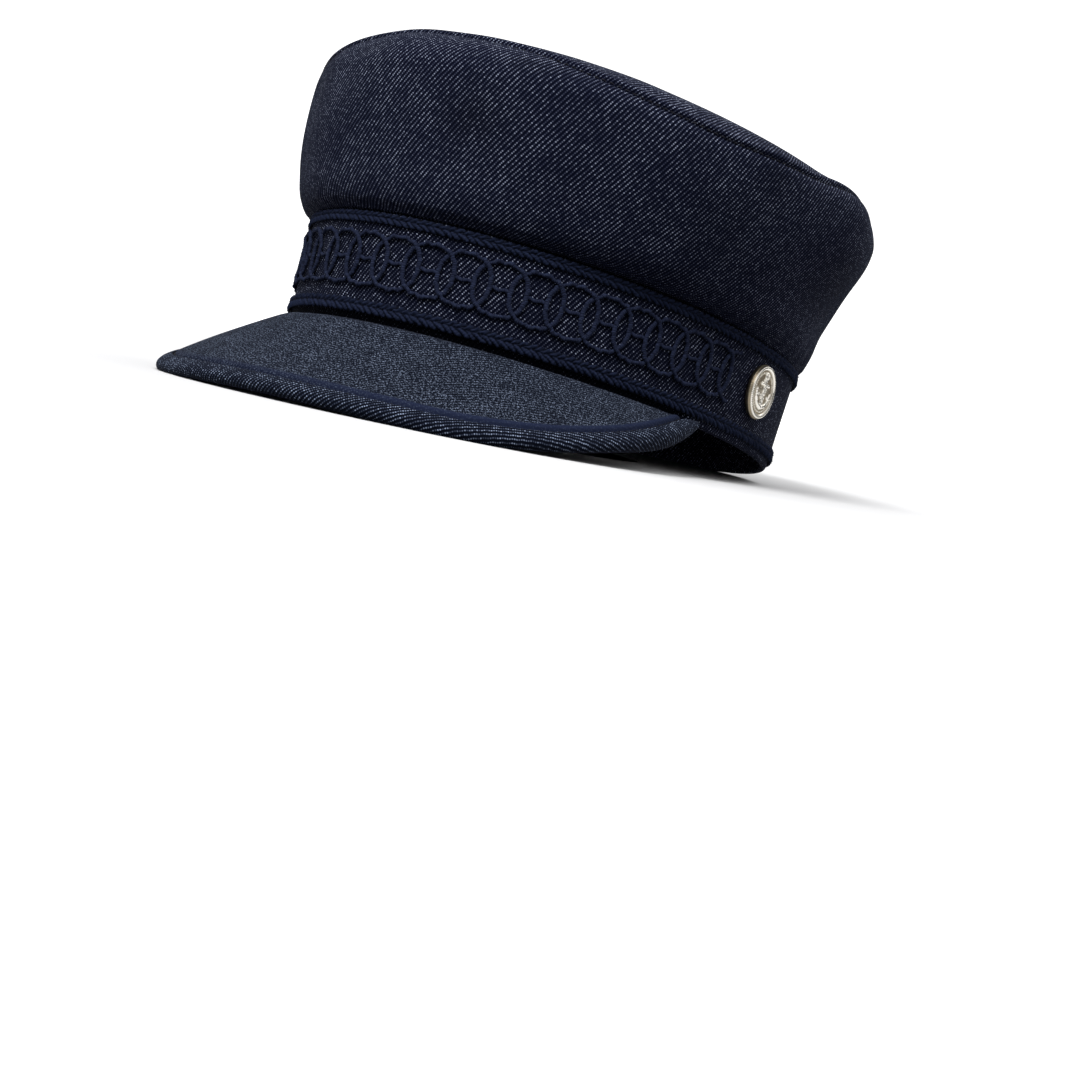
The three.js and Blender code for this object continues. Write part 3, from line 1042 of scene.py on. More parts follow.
@dataclass(frozen=True)
class ButtonMetal:
    """Cast pale metal, bright on its raised parts and brown in its hollows."""

    name: str = "button_metal"
    bright: Colour = linear(243, 239, 229)
    # Brown tarnish in the hollows.
    hollow_shade_and_tarnish: Colour = linear(140, 126, 102)
    tarnish: Grain = Grain(0.6, 3.0, 0.6)
    tarnish_share: float = 0.25
    raised_low: float = 0.2
    raised_high: float = 0.75
    raised_share: float = 0.9
    darker: float = 0.05
    rough_hollow: float = 0.4
    rough_change: float = 0.2
    hammered: Grain = Grain(0.9)
    depth: float = 0.05

    def material(self) -> Material:
        """Builds the material.

        Returns:
            The material.
        """
        graph = Surface(self.name, {"Metallic": 1.0})
        place, _, _ = graph.flat_map("face")
        raised = graph.share_map("lie").eased(self.raised_low, self.raised_high) * self.raised_share
        worn = (raised + self.tarnish.on(graph, place) * self.tarnish_share - self.darker).held()
        colour = graph.mixed(worn, self.hollow_shade_and_tarnish, self.bright)
        roughness = self.rough_hollow - worn * self.rough_change
        return graph.finished(colour, roughness, self.hammered.on(graph, place), self.depth)


@dataclass(frozen=True)
class FloorFinish:
    """Matt pale studio paper that glows softly far from the cap."""

    name: str = "floor_paper"
    colour: Colour = linear(243, 243, 244)
    specular: float = 0.1
    roughness: float = 0.9
    glow_from: float = 0.5
    glow_to: float = 2.2
    glow: float = 0.8

    def material(self) -> Material:
        """Builds the material.

        Returns:
            The material.
        """
        graph = Surface(self.name, {
            "Base Color": self.colour,
            "Roughness": self.roughness,
            "Specular IOR Level": self.specular,
            "Emission Strength": 1.0,
        })
        place = graph.node("ShaderNodeTexCoord", {}, {}).outputs["Object"]
        reach = graph.node("ShaderNodeVectorMath", {"operation": "LENGTH"}, {0: place}).outputs["Value"]
        glow = Value(graph, reach).eased(self.glow_from, self.glow_to) * self.glow
        graph.feed(graph.shader.inputs["Emission Color"], graph.mixed(glow, BLACK, WHITE))
        return graph.material


# Sub-assemblies


def settle(piece: bpy.types.Object, slot: Slot, *nodes: str) -> bpy.types.Object:
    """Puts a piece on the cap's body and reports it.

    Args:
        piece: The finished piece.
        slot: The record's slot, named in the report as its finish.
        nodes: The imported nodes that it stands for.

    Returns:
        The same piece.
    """
    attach(piece, "root")
    if nodes:
        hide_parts(*nodes)
    LOG.info("%s: %d faces, finish %s", piece.name, len(piece.data.polygons), slot.value)
    return piece


@dataclass(frozen=True)
class Wave:
    """A slow wave over two measures: how often it comes along each, where it starts and its height."""

    along: float
    across: float
    phase: float
    height: float

    def at(self, along: Array, across: Array) -> Array:
        """The wave's level at places along both measures."""
        return self.height * np.sin(self.along * along + self.across * across + self.phase)


@dataclass(frozen=True)
class Patch:
    """A soft patch of the crown's side: a dent, a swell where it is negative, or a patch of painted shade.
    """

    turn: float
    up: float
    strength: float
    wide: float
    tall: float

    def share(self, turn: Array, up: Array) -> Array:
        """How much of the patch there is at places of the side, from 1 at its middle."""
        nearest = np.mod(np.degrees(turn) - self.turn + 180, 360) - 180
        return np.exp(-((nearest / self.wide) ** 2 + ((up - self.up) / self.tall) ** 2))


@dataclass
class Crown:
    """The puffed side and the top panel, sewn together along the seam.

    Places on the side are given by turn, the angle from the front, and by up, which runs from 0 at
    the band to 1 at the seam.
    """

    rim: Rim
    stand: Stand
    length: float = 228.0
    width: float = 210.0
    height: float = 64.3
    wall: float = 2.0
    shift_back: float = -1.5
    widest_share: float = 0.77
    widest_up: float = 0.5
    lower_lean: float = 0.35
    drawn_in: float = 0.6
    overhang: float = 1.8
    inset_front: float = 24.3
    inset_side: float = 14.5
    inset_back: float = 12.0
    seam_arch: float = 2.8
    seam_rise: float = 0.5
    seam_drop: float = 0.5
    seam_width: float = 0.9
    seam_puff_side: float = 3.0
    seam_puff_top: float = 4.0
    turn_front: float = math.radians(92)
    turn_side: float = math.radians(64.7)
    dome: float = 5.0
    line_below: float = 8.0
    line_drop: float = 15.0
    line_turn: float = math.radians(48)
    line_spread: float = math.radians(38)
    groove: float = 0.75
    groove_width: float = 0.8
    groove_pucker: Wave = Wave(0.7, 190.0, 0.0, 0.25)
    welt: float = 4.2
    welt_rise: float = 0.5
    welt_fullness: float = 0.8
    drawn: float = 0.35
    drawn_width: float = 5.0
    stitching: Stitching = Stitching(pitch=2.8, share=0.72)
    hem_tuck: float = 1.5
    hem_reach: float = 4.5
    hem_swell: float = 0.8
    hem_swell_at: float = 9.0
    hem_swell_width: float = 6.0
    hem_swell_back: float = 0.35
    hem_pucker: float = 0.22
    hem_pucker_up: float = 0.12
    hem_puckers: int = 67
    hem_pucker_sway: Wave = Wave(5, 0.0, 0.0, 3.0)
    grain_sweep: float = 37.0
    steps_round: int = 512
    steps_low: int = 57
    steps_low_growth: float = 1.15
    steps_line: int = 14
    steps_high: int = 23
    steps_seam: int = 7
    steps_inside: int = 26
    steps_measured: int = 401
    steps_stitched: int = 1441
    line_reach: float = 0.035
    seam_from: float = 0.97
    inside_from: float = 0.08
    hole: float = 0.02
    domed_to: float = 0.94
    rolled_from: float = 0.95
    steps_domed: int = 40
    steps_rolled: int = 14
    steps_under: int = 20
    top_waves: tuple[Wave, ...] = (Wave(3, 4, 0.0, 0.3), Wave(7, -5, 1.0, 0.2))
    side_waves: tuple[Wave, ...] = (
        Wave(5, 2.0, 0.4, 0.35),
        Wave(9, -3.0, 1.9, 0.28),
        Wave(14, 5.0, 3.1, 0.2),
        Wave(23, -7.0, 0.9, 0.1),
    )
    dents: tuple[Patch, ...] = (
        Patch(72, 0.5, 0.022, 16, 0.22),
        Patch(108, 0.2, 0.045, 15, 0.14),
        Patch(128, 0.34, 0.03, 16, 0.12),
        Patch(81, 0.8, 0.02, 6, 0.1),
        Patch(95, 0.78, -0.05, 12, 0.15),
        Patch(113, 0.62, 0.02, 9, 0.15),
        Patch(186, 0.35, 0.035, 15, 0.2),
        Patch(232, 0.5, 0.03, 17, 0.22),
        Patch(268, 0.25, 0.035, 14, 0.16),
        Patch(284, 0.7, -0.02, 20, 0.18),
        Patch(320, 0.5, 0.035, 15, 0.24),
        Patch(342, 0.62, 0.018, 10, 0.12),
    )
    # Patches of painted shade on the side's cloth.
    painted_shades: tuple[Patch, ...] = (
        Patch(13, 0.39, 0.42, 7, 0.07),
        Patch(21, 0.62, 0.3, 6, 0.07),
        Patch(62, 0.35, 0.25, 8, 0.1),
        Patch(72, 0.5, 0.3, 5, 0.09),
        Patch(104, 0.3, 0.3, 8, 0.1),
        Patch(139, 0.5, 0.25, 9, 0.1),
        Patch(188, 0.35, 0.3, 8, 0.12),
        Patch(233, 0.5, 0.3, 9, 0.1),
        Patch(268, 0.3, 0.3, 8, 0.1),
        Patch(318, 0.5, 0.3, 7, 0.1),
        Patch(343, 0.6, 0.2, 7, 0.08),
    )

    @property
    def base(self) -> float:
        """Height of the crown's lower edge."""
        return self.rim.height + self.rim.seat_gap

    @property
    def seam_shift(self) -> float:
        """How far back the seam's oval lies."""
        return self.shift_back + (self.inset_front - self.inset_back) / 2

    def build(self, finish: Material, thread: Material) -> None:
        """Makes the side, the top panel and the stitches between them.

        Args:
            finish: The cloth's material.
            thread: The stitches' material.
        """
        settle(self._side().made("crown_side_cloth", self.stand, finish), Slot.DENIM, "crown_side")
        settle(self._top().made("crown_top_cloth", self.stand, finish), Slot.DENIM, "crown_top")
        settle(self._stitches().made("crown_stitches", self.stand, thread), Slot.CORD)

    def _oval(self, half_width: float, half_length: float, shift: float, turn: Array) -> Array:
        """Points of a level oval at height 0, with its middle shifted back, at some turns."""
        across, back = half_width * np.sin(turn), shift - half_length * np.cos(turn)
        return np.stack([across, back, np.zeros_like(turn)], axis=-1)

    def _smooth(self, turn: Array, up: Array) -> Array:
        """Points on the side as it is cut, without its dents and stitches.

        Args:
            turn, up: The places.

        Returns:
            The points.
        """
        turn, up = np.broadcast_arrays(turn, up)
        low = self.rim.point(turn, self.rim.height, self.overhang)
        low[..., 2] = self.base
        wide = self._oval(self.width / 2, self.length / 2, self.shift_back, turn)
        wide[..., 2] = self.base + self.widest_share * self.height
        share = np.minimum(up / self.widest_up, 1.0)
        quarter = share * math.pi / 2
        full = eased(-self.drawn_in, self.drawn_in, np.cos(turn))
        out = between(np.sin(quarter) ** 2, np.sin(quarter), full)
        rise = between(share, 1 - np.cos(quarter), full * (1 - self.lower_lean))
        lower = between(low, wide, out[..., None])
        lower[..., 2] = between(low[..., 2], wide[..., 2], rise)
        seam_length = self.length / 2 - (self.inset_front + self.inset_back) / 2
        seam = self._oval(self.width / 2 - self.inset_side, seam_length, self.seam_shift, turn)
        seam[..., 2] = self.base + self.height + self.seam_arch * np.cos(2 * turn)
        full_turn = between(self.turn_side, self.turn_front, np.maximum(0.0, np.cos(turn)))
        bend = np.clip((up - self.widest_up) / (1 - self.widest_up), 0.0, None) * full_turn
        inwards = (1 - np.cos(bend)) / (1 - np.cos(full_turn))
        upper = between(wide, seam, inwards[..., None])
        upper[..., 2] = between(wide[..., 2], seam[..., 2], np.sin(bend) / np.sin(full_turn))
        return np.where((up < self.widest_up)[..., None], lower, upper)

    def _normal(self, turn: Array, up: Array, step: float = 0.01) -> Array:
        """The direction out of the smooth side.

        Args:
            turn, up: The places.
            step: How far apart the points lie that it is measured between.

        Returns:
            The directions, with length 1.
        """
        along = self._smooth(turn + step, up) - self._smooth(turn - step, up)
        above = self._smooth(turn, np.minimum(up + step, 1.0))
        below = self._smooth(turn, np.maximum(up - step, 0.0))
        return unit(np.cross(along, above - below))

    def _dented(self, turn: Array, up: Array) -> Array:
        """How far the cloth lies inside the smooth side.

        Args:
            turn, up: The places.

        Returns:
            The depths.
        """
        depth = np.zeros(np.broadcast(turn, up).shape)
        for dent in self.dents:
            depth += dent.strength * self.height * dent.share(turn, up)
        for wave in self.side_waves:
            depth += wave.at(turn, up)
        puckers = np.sin(self.hem_puckers * turn + self.hem_pucker_sway.at(turn, 0.0))
        return depth * np.sin(math.pi * up) + puckers * self.hem_pucker * bell(up, self.hem_pucker_up)

    def _painted_shading(self, turn: Array, up: Array) -> Array:
        """How dark the patches of painted shade make the cloth, from 0 to 1."""
        return sum(shade.strength * shade.share(turn, up) for shade in self.painted_shades)

    def _line(self, turn: Array) -> Array:
        """How far below the seam the top stitching runs, measured down the cloth."""
        sides = [bell(from_front(turn) - side * self.line_turn, self.line_spread) for side in (1, -1)]
        return self.line_below + self.line_drop * (sides[0] + sides[1])

    def _line_up(self, turn: Array) -> Array:
        """The stitched line's place between the band and the seam.

        Args:
            turn: Angles from the front, in one row.

        Returns:
            Its up at each of them, in one column.
        """
        up = np.linspace(0, 1, self.steps_measured)[None, :]
        length = run_length(self._smooth(turn[:, None], up), axis=1)
        below = length[:, -1:] - length
        line = self._line(turn)
        return np.array([[np.interp(-line[i], -below[i], up[0])] for i in range(len(turn))])

    def _outer(self, turn: Array, up: Array) -> Array:
        """Points on the side's outer face, with its groove, welt and seam, and its tucked lower edge.

        Args:
            turn, up: The places, as a grid that starts at the band and ends at the seam.

        Returns:
            The points.
        """
        points = self._smooth(turn, up)
        length = run_length(points, axis=1)
        below = length[:, -1:] - length
        past = below - self._line(turn)
        groove = self.groove * (1 + self.groove_pucker.at(below, turn)) * bell(past, self.groove_width)
        welt = np.sin(math.pi * np.clip(-past / self.welt, 0, 1)) ** self.welt_fullness
        drawn = self.drawn * bell(past, np.where(past > 0, self.drawn_width, self.groove_width))
        seam = (self.seam_rise + self.seam_drop) * (1 - eased(0.0, self.seam_width, below))
        seam = seam - self.seam_rise * bell(below, self.seam_puff_side)
        relief = self.welt_rise * welt - groove - drawn - seam
        relief = relief - self.hem_tuck * (1 - eased(0.0, self.hem_reach, length))
        swell = self.hem_swell * (1 - np.cos(turn) * self.hem_swell_back)
        relief = relief + swell * bell(length - self.hem_swell_at, self.hem_swell_width)
        relief = relief - self._dented(turn, up)
        return points + self._normal(turn, up) * relief[..., None]

    def _side(self) -> Draft:
        """Makes the side, its lower edge turned in over the band.

        Returns:
            The closed body.
        """
        turn = np.linspace(0, FULL_TURN, self.steps_round + 1)
        line = self._line_up(turn)
        turn = turn[:, None]
        stops = [
            np.zeros_like(line),
            line - self.line_reach,
            line + self.line_reach,
            np.full_like(line, self.seam_from),
            np.ones_like(line),
        ]
        shares = [
            steps_to_one(self.steps_low) ** self.steps_low_growth,
            steps_to_one(self.steps_line),
            steps_to_one(self.steps_high),
            np.linspace(0, 1, self.steps_seam + 1)[None, :],
        ]
        rows = [between(low, high, share) for low, high, share in zip(stops, stops[1:], shares)]
        up = np.concatenate(rows, axis=1)
        back_up = np.linspace(1, self.inside_from, self.steps_inside)[None, :]
        depth = self._dented(turn, back_up) + self.wall
        inner = self._smooth(turn, back_up) - self._normal(turn, back_up) * depth[..., None]
        hem = self.rim.point(turn, self.rim.height, -self.rim.wall)
        hem[..., 2] = self.base
        points = np.concatenate([self._outer(turn, up), inner, hem], axis=1)
        closed = closed_columns(points)
        right = np.broadcast_to(Rim(self.width / 2, self.length / 2).arc_at(turn), closed.shape[:2])
        cloth = np.stack([right, run_length(closed, axis=1) + self.grain_sweep * np.cos(turn)], axis=-1)
        # Painted shade: soft dark patches on the outer face, carried to the finish as a map.
        fold = np.zeros(closed.shape[:2])
        fold[:, : up.shape[1]] = self._painted_shading(turn, up)
        return Draft.from_grid(points[:-1], {"cloth": cloth, "fold": one_number(fold)}, True)

    def _panel(self, turn: Array, share: Array, lowered: float) -> Array:
        """Points on the top panel.

        Args:
            turn: Angles from the front, in a column.
            share: Shares of the way from its middle to the seam, in a row.
            lowered: How far they lie below its upper face.

        Returns:
            The points.
        """
        seam = self._smooth(turn, np.ones((1, 1)))[:, 0]
        middle = np.array([0.0, self.seam_shift, self.base + self.height + self.dome])
        radius = np.linalg.norm(seam[:, :2] - middle[:2], axis=-1)[:, None]
        shrink = 1 - self.rim.seat_gap / radius
        flat = between(middle[:2], seam[:, None, :2], (share * shrink)[..., None])
        height = between(middle[2] - lowered, seam[:, None, 2] - lowered, share**2)
        height = height + sum(wave.at(turn, share) for wave in self.top_waves) * np.sin(math.pi * share)
        if lowered == 0:
            away = (1 - share) * radius
            height = height + self.seam_rise * (1 - eased(0.0, self.seam_puff_top, away))
            height = height - self.seam_drop * (1 - eased(0.0, self.seam_width, away))
        return np.concatenate([flat, height[..., None]], axis=-1)

    def _top(self) -> Draft:
        """Makes the top panel, domed and rolled down at the seam.

        Returns:
            The closed body.
        """
        turn = np.linspace(0, FULL_TURN, self.steps_round + 1)[:, None]
        domed = np.linspace(self.hole, self.domed_to, self.steps_domed)
        rolled = np.linspace(self.rolled_from, 1, self.steps_rolled)
        over = np.concatenate([domed, rolled])[None, :]
        under = np.linspace(1, self.hole, self.steps_under)[None, :]
        faces = [self._panel(turn, over, 0.0), self._panel(turn, under, self.wall)]
        points = np.concatenate(faces, axis=1)
        return Draft.from_discs(points[:-1], {"cloth": points[..., :2].copy()})

    def _stitches(self) -> Draft:
        """Makes the row of stitches in the crown's groove.

        Returns:
            The stitches' bodies.
        """
        beside, lead, lead_to = 0.02, 40, 0.9
        turn = np.linspace(0, FULL_TURN, self.steps_stitched)
        line = self._line_up(turn)
        low = np.linspace(0, lead_to, lead)[None, :] * (line - beside)
        near = line + np.linspace(-beside, beside, 3)[None, :]
        whole = np.concatenate([low, near, np.ones_like(line)], axis=1)
        path = self._outer(turn[:, None], whole)[:, lead + 1]
        return self.stitching.sewn(path, self._normal(turn[:, None], line)[:, 0])


@dataclass
class Band:
    """The upright band with its rounded hem."""

    rim: Rim
    stand: Stand
    recess: float = 1.7
    recess_half_span: float = math.radians(77)
    recess_end: float = 0.06
    recess_low: float = 2.4
    recess_high: float = 3.6
    close_to: float = 4.0
    wide_from: float = 5.5
    steps_round: int = 480
    steps_hem: int = 14
    steps_close: int = 9
    steps_wide: int = 20

    def build(self, finish: Material) -> None:
        """Makes the band, drawn in where the peak is sewn to it, with painted shade in that recess.

        Args:
            finish: Its material.
        """
        turn = np.linspace(0, FULL_TURN, self.steps_round + 1)[:, None]
        hem = np.linspace(math.pi, FULL_TURN, self.steps_hem)
        near_hem = np.linspace(self.rim.hem_round, self.close_to, self.steps_close)
        wide_apart = np.linspace(self.wide_from, self.rim.height, self.steps_wide)
        rise = np.concatenate([near_hem, wide_apart])
        wall = self.rim.wall
        inside, outside = np.full(len(rise) - 1, -wall), np.zeros(len(rise) - 1)
        out = np.concatenate([inside, wall / 2 * (np.cos(hem) - 1), outside])
        height = np.concatenate([rise[:0:-1], self.rim.hem_round * (1 + np.sin(hem)), rise[1:]])
        near = np.abs(from_front(turn))
        behind = 1 - eased(self.recess_half_span - self.recess_end, self.recess_half_span, near)
        # This weight draws the band in under the lower braid at the front, and also paints shade into that
        # recess.
        fold = behind * (1 - eased(self.recess_low, self.recess_high, height)) * (1 + out / wall)
        points = self.rim.point(turn, height[None, :], out[None, :] - self.recess * fold)
        closed = closed_columns(points)
        right = np.broadcast_to(self.rim.arc_at(turn), closed.shape[:2])
        cloth = np.stack([right, run_length(closed, axis=1)], axis=-1)
        maps = {"cloth": cloth, "fold": one_number(closed_columns(fold))}
        draft = Draft.from_grid(points[:-1], maps, True)
        settle(draft.made("band_cloth", self.stand, finish), Slot.DENIM, "band")


@dataclass
class Braid:
    """A flat plait of two rows of slanting strands."""

    name: str
    node: str
    rim: Rim
    stand: Stand
    bottom: float
    width: float
    thickness: float = 1.1
    backing: float = 0.08
    pitch: float = 2.7
    slant: float = 1.3
    split: float = 0.56
    upper_rise: float = 0.8
    strand_fullness: float = 0.8
    hollow_rise: float = 0.3
    row_overlap: float = 1.12
    threads: float = 0.08
    threads_each: int = 6
    edge_sway: float = 0.8
    edge_middle: float = 0.65
    edge_from: float = 0.2
    steps_each: int = 9
    steps_across: int = 19
    wander: tuple[Wave, ...] = (Wave(0.83, 0.0, 0.0, 0.1), Wave(2.1, 5.0, 1.0, 0.08))
    uneven: tuple[Wave, ...] = (Wave(1.37, 9.0, 0.0, 0.16), Wave(4.7, -14.0, 0.0, 0.14))

    def build(self, finish: Material) -> None:
        """Makes the braid.

        Args:
            finish: Its material.
        """
        count = round(self.rim.round_length / self.pitch)
        arc = np.linspace(0, self.rim.round_length, count * self.steps_each + 1)[:, None]
        turn = self.rim.turn_at(arc)
        level = np.linspace(0, 1, self.steps_across)[None, :]
        strand, raised = self._plait(count, arc, level)
        edge = np.sign(level - 0.5) * eased(self.edge_from, 0.5, np.abs(level - 0.5))
        height = self.bottom + level * self.width + edge * (strand - self.edge_middle) * self.edge_sway
        front = self.rim.point(turn, height, self.rim.seat_gap + self.thickness * (self.backing + raised))
        levels_back = np.array([[1.0, 0.5, 0.0]])
        back = self.rim.point(turn, self.bottom + levels_back * self.width, self.rim.seat_gap)
        points = np.concatenate([front, back], axis=1)
        closed = closed_columns(points)
        strands = np.stack([np.broadcast_to(arc, closed.shape[:2]), run_length(closed, axis=1)], axis=-1)
        # The relief also goes to the finish, which paints shade where it is low.
        shown = np.concatenate([raised, np.zeros((len(arc), levels_back.shape[1] + 1))], axis=1)
        draft = Draft.from_grid(points[:-1], {"strand": strands, "lie": one_number(shown)}, True)
        settle(draft.made(self.name, self.stand, finish), Slot.CORD, self.node)

    def _plait(self, count: int, arc: Array, level: Array) -> tuple[Array, Array]:
        """The plait's relief.

        Args:
            count: How many strands it has round the cap.
            arc: Lengths along the rim.
            level: Places from 0 at its lower edge to 1 at its upper edge.

        Returns:
            The height of each strand, and that of the whole relief, from 0 to about 1.
        """
        lower = level < self.split
        aslant = np.abs(level - self.split) * self.width * self.slant / self.pitch
        phase = arc * count / self.rim.round_length - aslant + 0.5 * lower
        for wave in self.wander:
            phase = phase + wave.at(arc, level)
        strand = np.abs(np.cos(math.pi * phase)) ** self.strand_fullness
        middle = np.where(lower, self.split / 2, (1 + self.split) / 2)
        half = np.where(lower, self.split / 2, (1 - self.split) / 2) * self.row_overlap
        row = np.sqrt(np.clip(1 - ((level - middle) / half) ** 2, 0, 1))
        row = row * np.where(lower, 1.0, self.upper_rise)
        threads = self.threads * np.cos(self.threads_each * math.pi * phase)
        full = self.hollow_rise + (1 - self.hollow_rise) * strand + threads
        return strand, row * full * (1 + sum(wave.at(arc, level) for wave in self.uneven))


@dataclass
class RingChain:
    """Interlaced cord rings joined by short bars, sewn along the middle of the band."""

    rim: Rim
    stand: Stand
    bottom: float
    top: float
    pitch: float = 12.3
    ring_width: float = 17.6
    cord: float = 1.4
    rings_each_side: int = 11
    power: float = 2.35
    upright_width: float = 1.65
    upright_from: float = 0.6
    upright_to: float = 0.86
    level_width: float = 1.35
    thickness: float = 1.25
    crossing_lift: float = 0.4
    crossing_press: float = 0.25
    crossing_width: float = 1.5
    crossing_from: float = 3.0
    crossing_to: float = 5.0
    wave_pitch: float = 4.3
    wave_height: float = 0.22
    wave_width: float = 0.16
    wave_thickness: float = 0.12
    unsteady: float = 0.1
    unsteady_along: tuple[Wave, ...] = (Wave(17, 1.7, 0.0, 1.0), Wave(31, 0.9, 0.0, 0.7))
    unsteady_up: tuple[Wave, ...] = (Wave(19, 2.3, 0.0, 1.0), Wave(37, 1.3, 0.0, 0.7))
    wraps: int = 72
    wrap_depth: float = 0.07
    spacing: float = 0.2
    sides: int = 8
    steps_measured: int = 1600
    end_rounding: int = 3
    end_least: float = 0.1
    bar_reach: float = 0.3
    bar_wave: float = 0.25
    bar_wave_pitch: float = 4.4
    bar_width: float = 1.24
    bar_thickness: float = 0.8
    bar_steps: int = 24

    @property
    def middle(self) -> float:
        """Height of the rings' middle."""
        return (self.bottom + self.top) / 2

    @property
    def lens(self) -> float:
        """Width of the overlap of two rings."""
        return self.ring_width - self.pitch

    def build(self, finish: Material) -> None:
        """Makes the chain.

        Args:
            finish: Its material.
        """
        numbers = range(-self.rings_each_side, self.rings_each_side)
        drafts = [self._ring((number + 0.5) * self.pitch) for number in numbers]
        drafts.extend(self._bar(number) for number in numbers)
        drafts.extend(self._end(side) for side in Side)
        piece = Draft.together(drafts).made("ring_chain_cord", self.stand, finish)
        settle(piece, Slot.CORD, "ring_chain")

    def _place(self, angle: Array) -> tuple[Array, Array]:
        """A ring's line, which is squared off a little.

        Args:
            angle: Angles round the ring.

        Returns:
            Its arc and its height from the ring's middle.
        """
        half_height = (self.top - self.bottom - self.cord) / 2
        level, upright = np.cos(angle), np.sin(angle)
        across = np.sign(level) * np.abs(level) ** (2 / self.power)
        rise = np.sign(upright) * np.abs(upright) ** (2 / self.power)
        return self.ring_width / 2 * across, half_height * rise

    def _evenly(self, start: float, end: float) -> Array:
        """Spreads angles evenly along the ring's line.

        Args:
            start: The first angle.
            end: The last angle.

        Returns:
            The angles.
        """
        dense = np.linspace(start, end, self.steps_measured)
        length = run_length(np.stack(self._place(dense), axis=-1))
        count = int(length[-1] / self.spacing)
        return np.interp(np.linspace(0, length[-1], count), length, dense)

    def _shaped(self, centre: float, angle: Array, closed: bool, taper: Array, flip: float = 1.0) -> Draft:
        """A ring, or part of one.

        Args:
            centre: The arc at the ring's middle.
            angle: The angles that it runs through.
            closed: Whether its ends meet.
            taper: Share of the full section at each angle.
            flip: -1 to mirror the part.

        Returns:
            The cord's body.
        """
        across, rise = self._place(angle)
        upright = eased(self.upright_from, self.upright_to, np.abs(across) / (self.ring_width / 2))
        length = run_length(np.stack([across, rise], axis=-1))
        wave = np.cos(FULL_TURN * length / self.wave_pitch) * (1 - upright)
        crossing = bell(np.abs(across) - self.pitch / 2, self.crossing_width)
        crossing = crossing * eased(self.crossing_from, self.crossing_to, np.abs(rise))
        over = crossing * (np.sign(across * rise) > 0)
        under = crossing * (np.sign(across * rise) < 0)
        loop = FULL_TURN * length / (length[-1] + self.spacing)
        wrapped = 1 + self.wrap_depth * np.cos(self.wraps * loop)
        width = between(self.level_width, self.upright_width, upright)
        width = width * (1 + self.wave_width * wave) * wrapped
        height = self.thickness * (1 - self.crossing_press * under)
        height = height * (1 + self.wave_thickness * wave) * wrapped
        aside = self.unsteady * sum(sway.at(loop, centre) for sway in self.unsteady_along)
        above = self.unsteady * sum(sway.at(loop, centre) for sway in self.unsteady_up)
        turn = self.rim.turn_at(centre + flip * across + aside)
        up = self.middle + rise + above + self.wave_height * wave * np.sign(rise)
        out = self.rim.seat_gap + height / 2 + self.crossing_lift * over
        path, away = self.rim.point(turn, up, out), self.rim.normal(turn)
        return Cord(path, away, width / 2 * taper, height / 2 * taper, closed, self.sides).draft()

    def _ring(self, centre: float) -> Draft:
        """A whole ring with its middle at an arc."""
        angle = self._evenly(0, FULL_TURN)[:-1]
        return self._shaped(centre, angle, True, np.ones(len(angle)))

    def _end(self, side: Side) -> Draft:
        """The half ring that ends the chain.

        Args:
            side: The side that it is on.

        Returns:
            The cord's body.
        """
        angle = self._evenly(math.pi / 2, 1.5 * math.pi)
        from_end = np.minimum(np.arange(len(angle)), np.arange(len(angle))[::-1])
        taper = np.sqrt(np.clip(from_end / self.end_rounding, self.end_least, 1))
        centre = side.value * (self.rings_each_side + 0.5) * self.pitch
        return self._shaped(centre, angle, False, taper, side.value)

    def _bar(self, number: int) -> Draft:
        """The short bar between two lenses.

        Args:
            number: The number of the ring that it crosses.

        Returns:
            The cord's body.
        """
        start = number * self.pitch + self.lens / 2 - self.bar_reach
        end = (number + 1) * self.pitch - self.lens / 2 + self.bar_reach
        arc = np.linspace(start, end, self.bar_steps)
        wave = self.bar_wave * np.sin(FULL_TURN * (arc - start) / self.bar_wave_pitch)
        turn = self.rim.turn_at(arc)
        path = self.rim.point(turn, self.middle + wave, self.rim.seat_gap + self.bar_thickness / 2)
        wide, high = (np.full(len(arc), size / 2) for size in (self.bar_width, self.bar_thickness))
        return Cord(path, self.rim.normal(turn), wide, high, False).draft()


@dataclass(frozen=True)
class PeakRow:
    """A section of the peak, by shares of the peak's own reach and drop and of the band's heading."""

    along: float
    reach: float
    drop: float
    swing: float


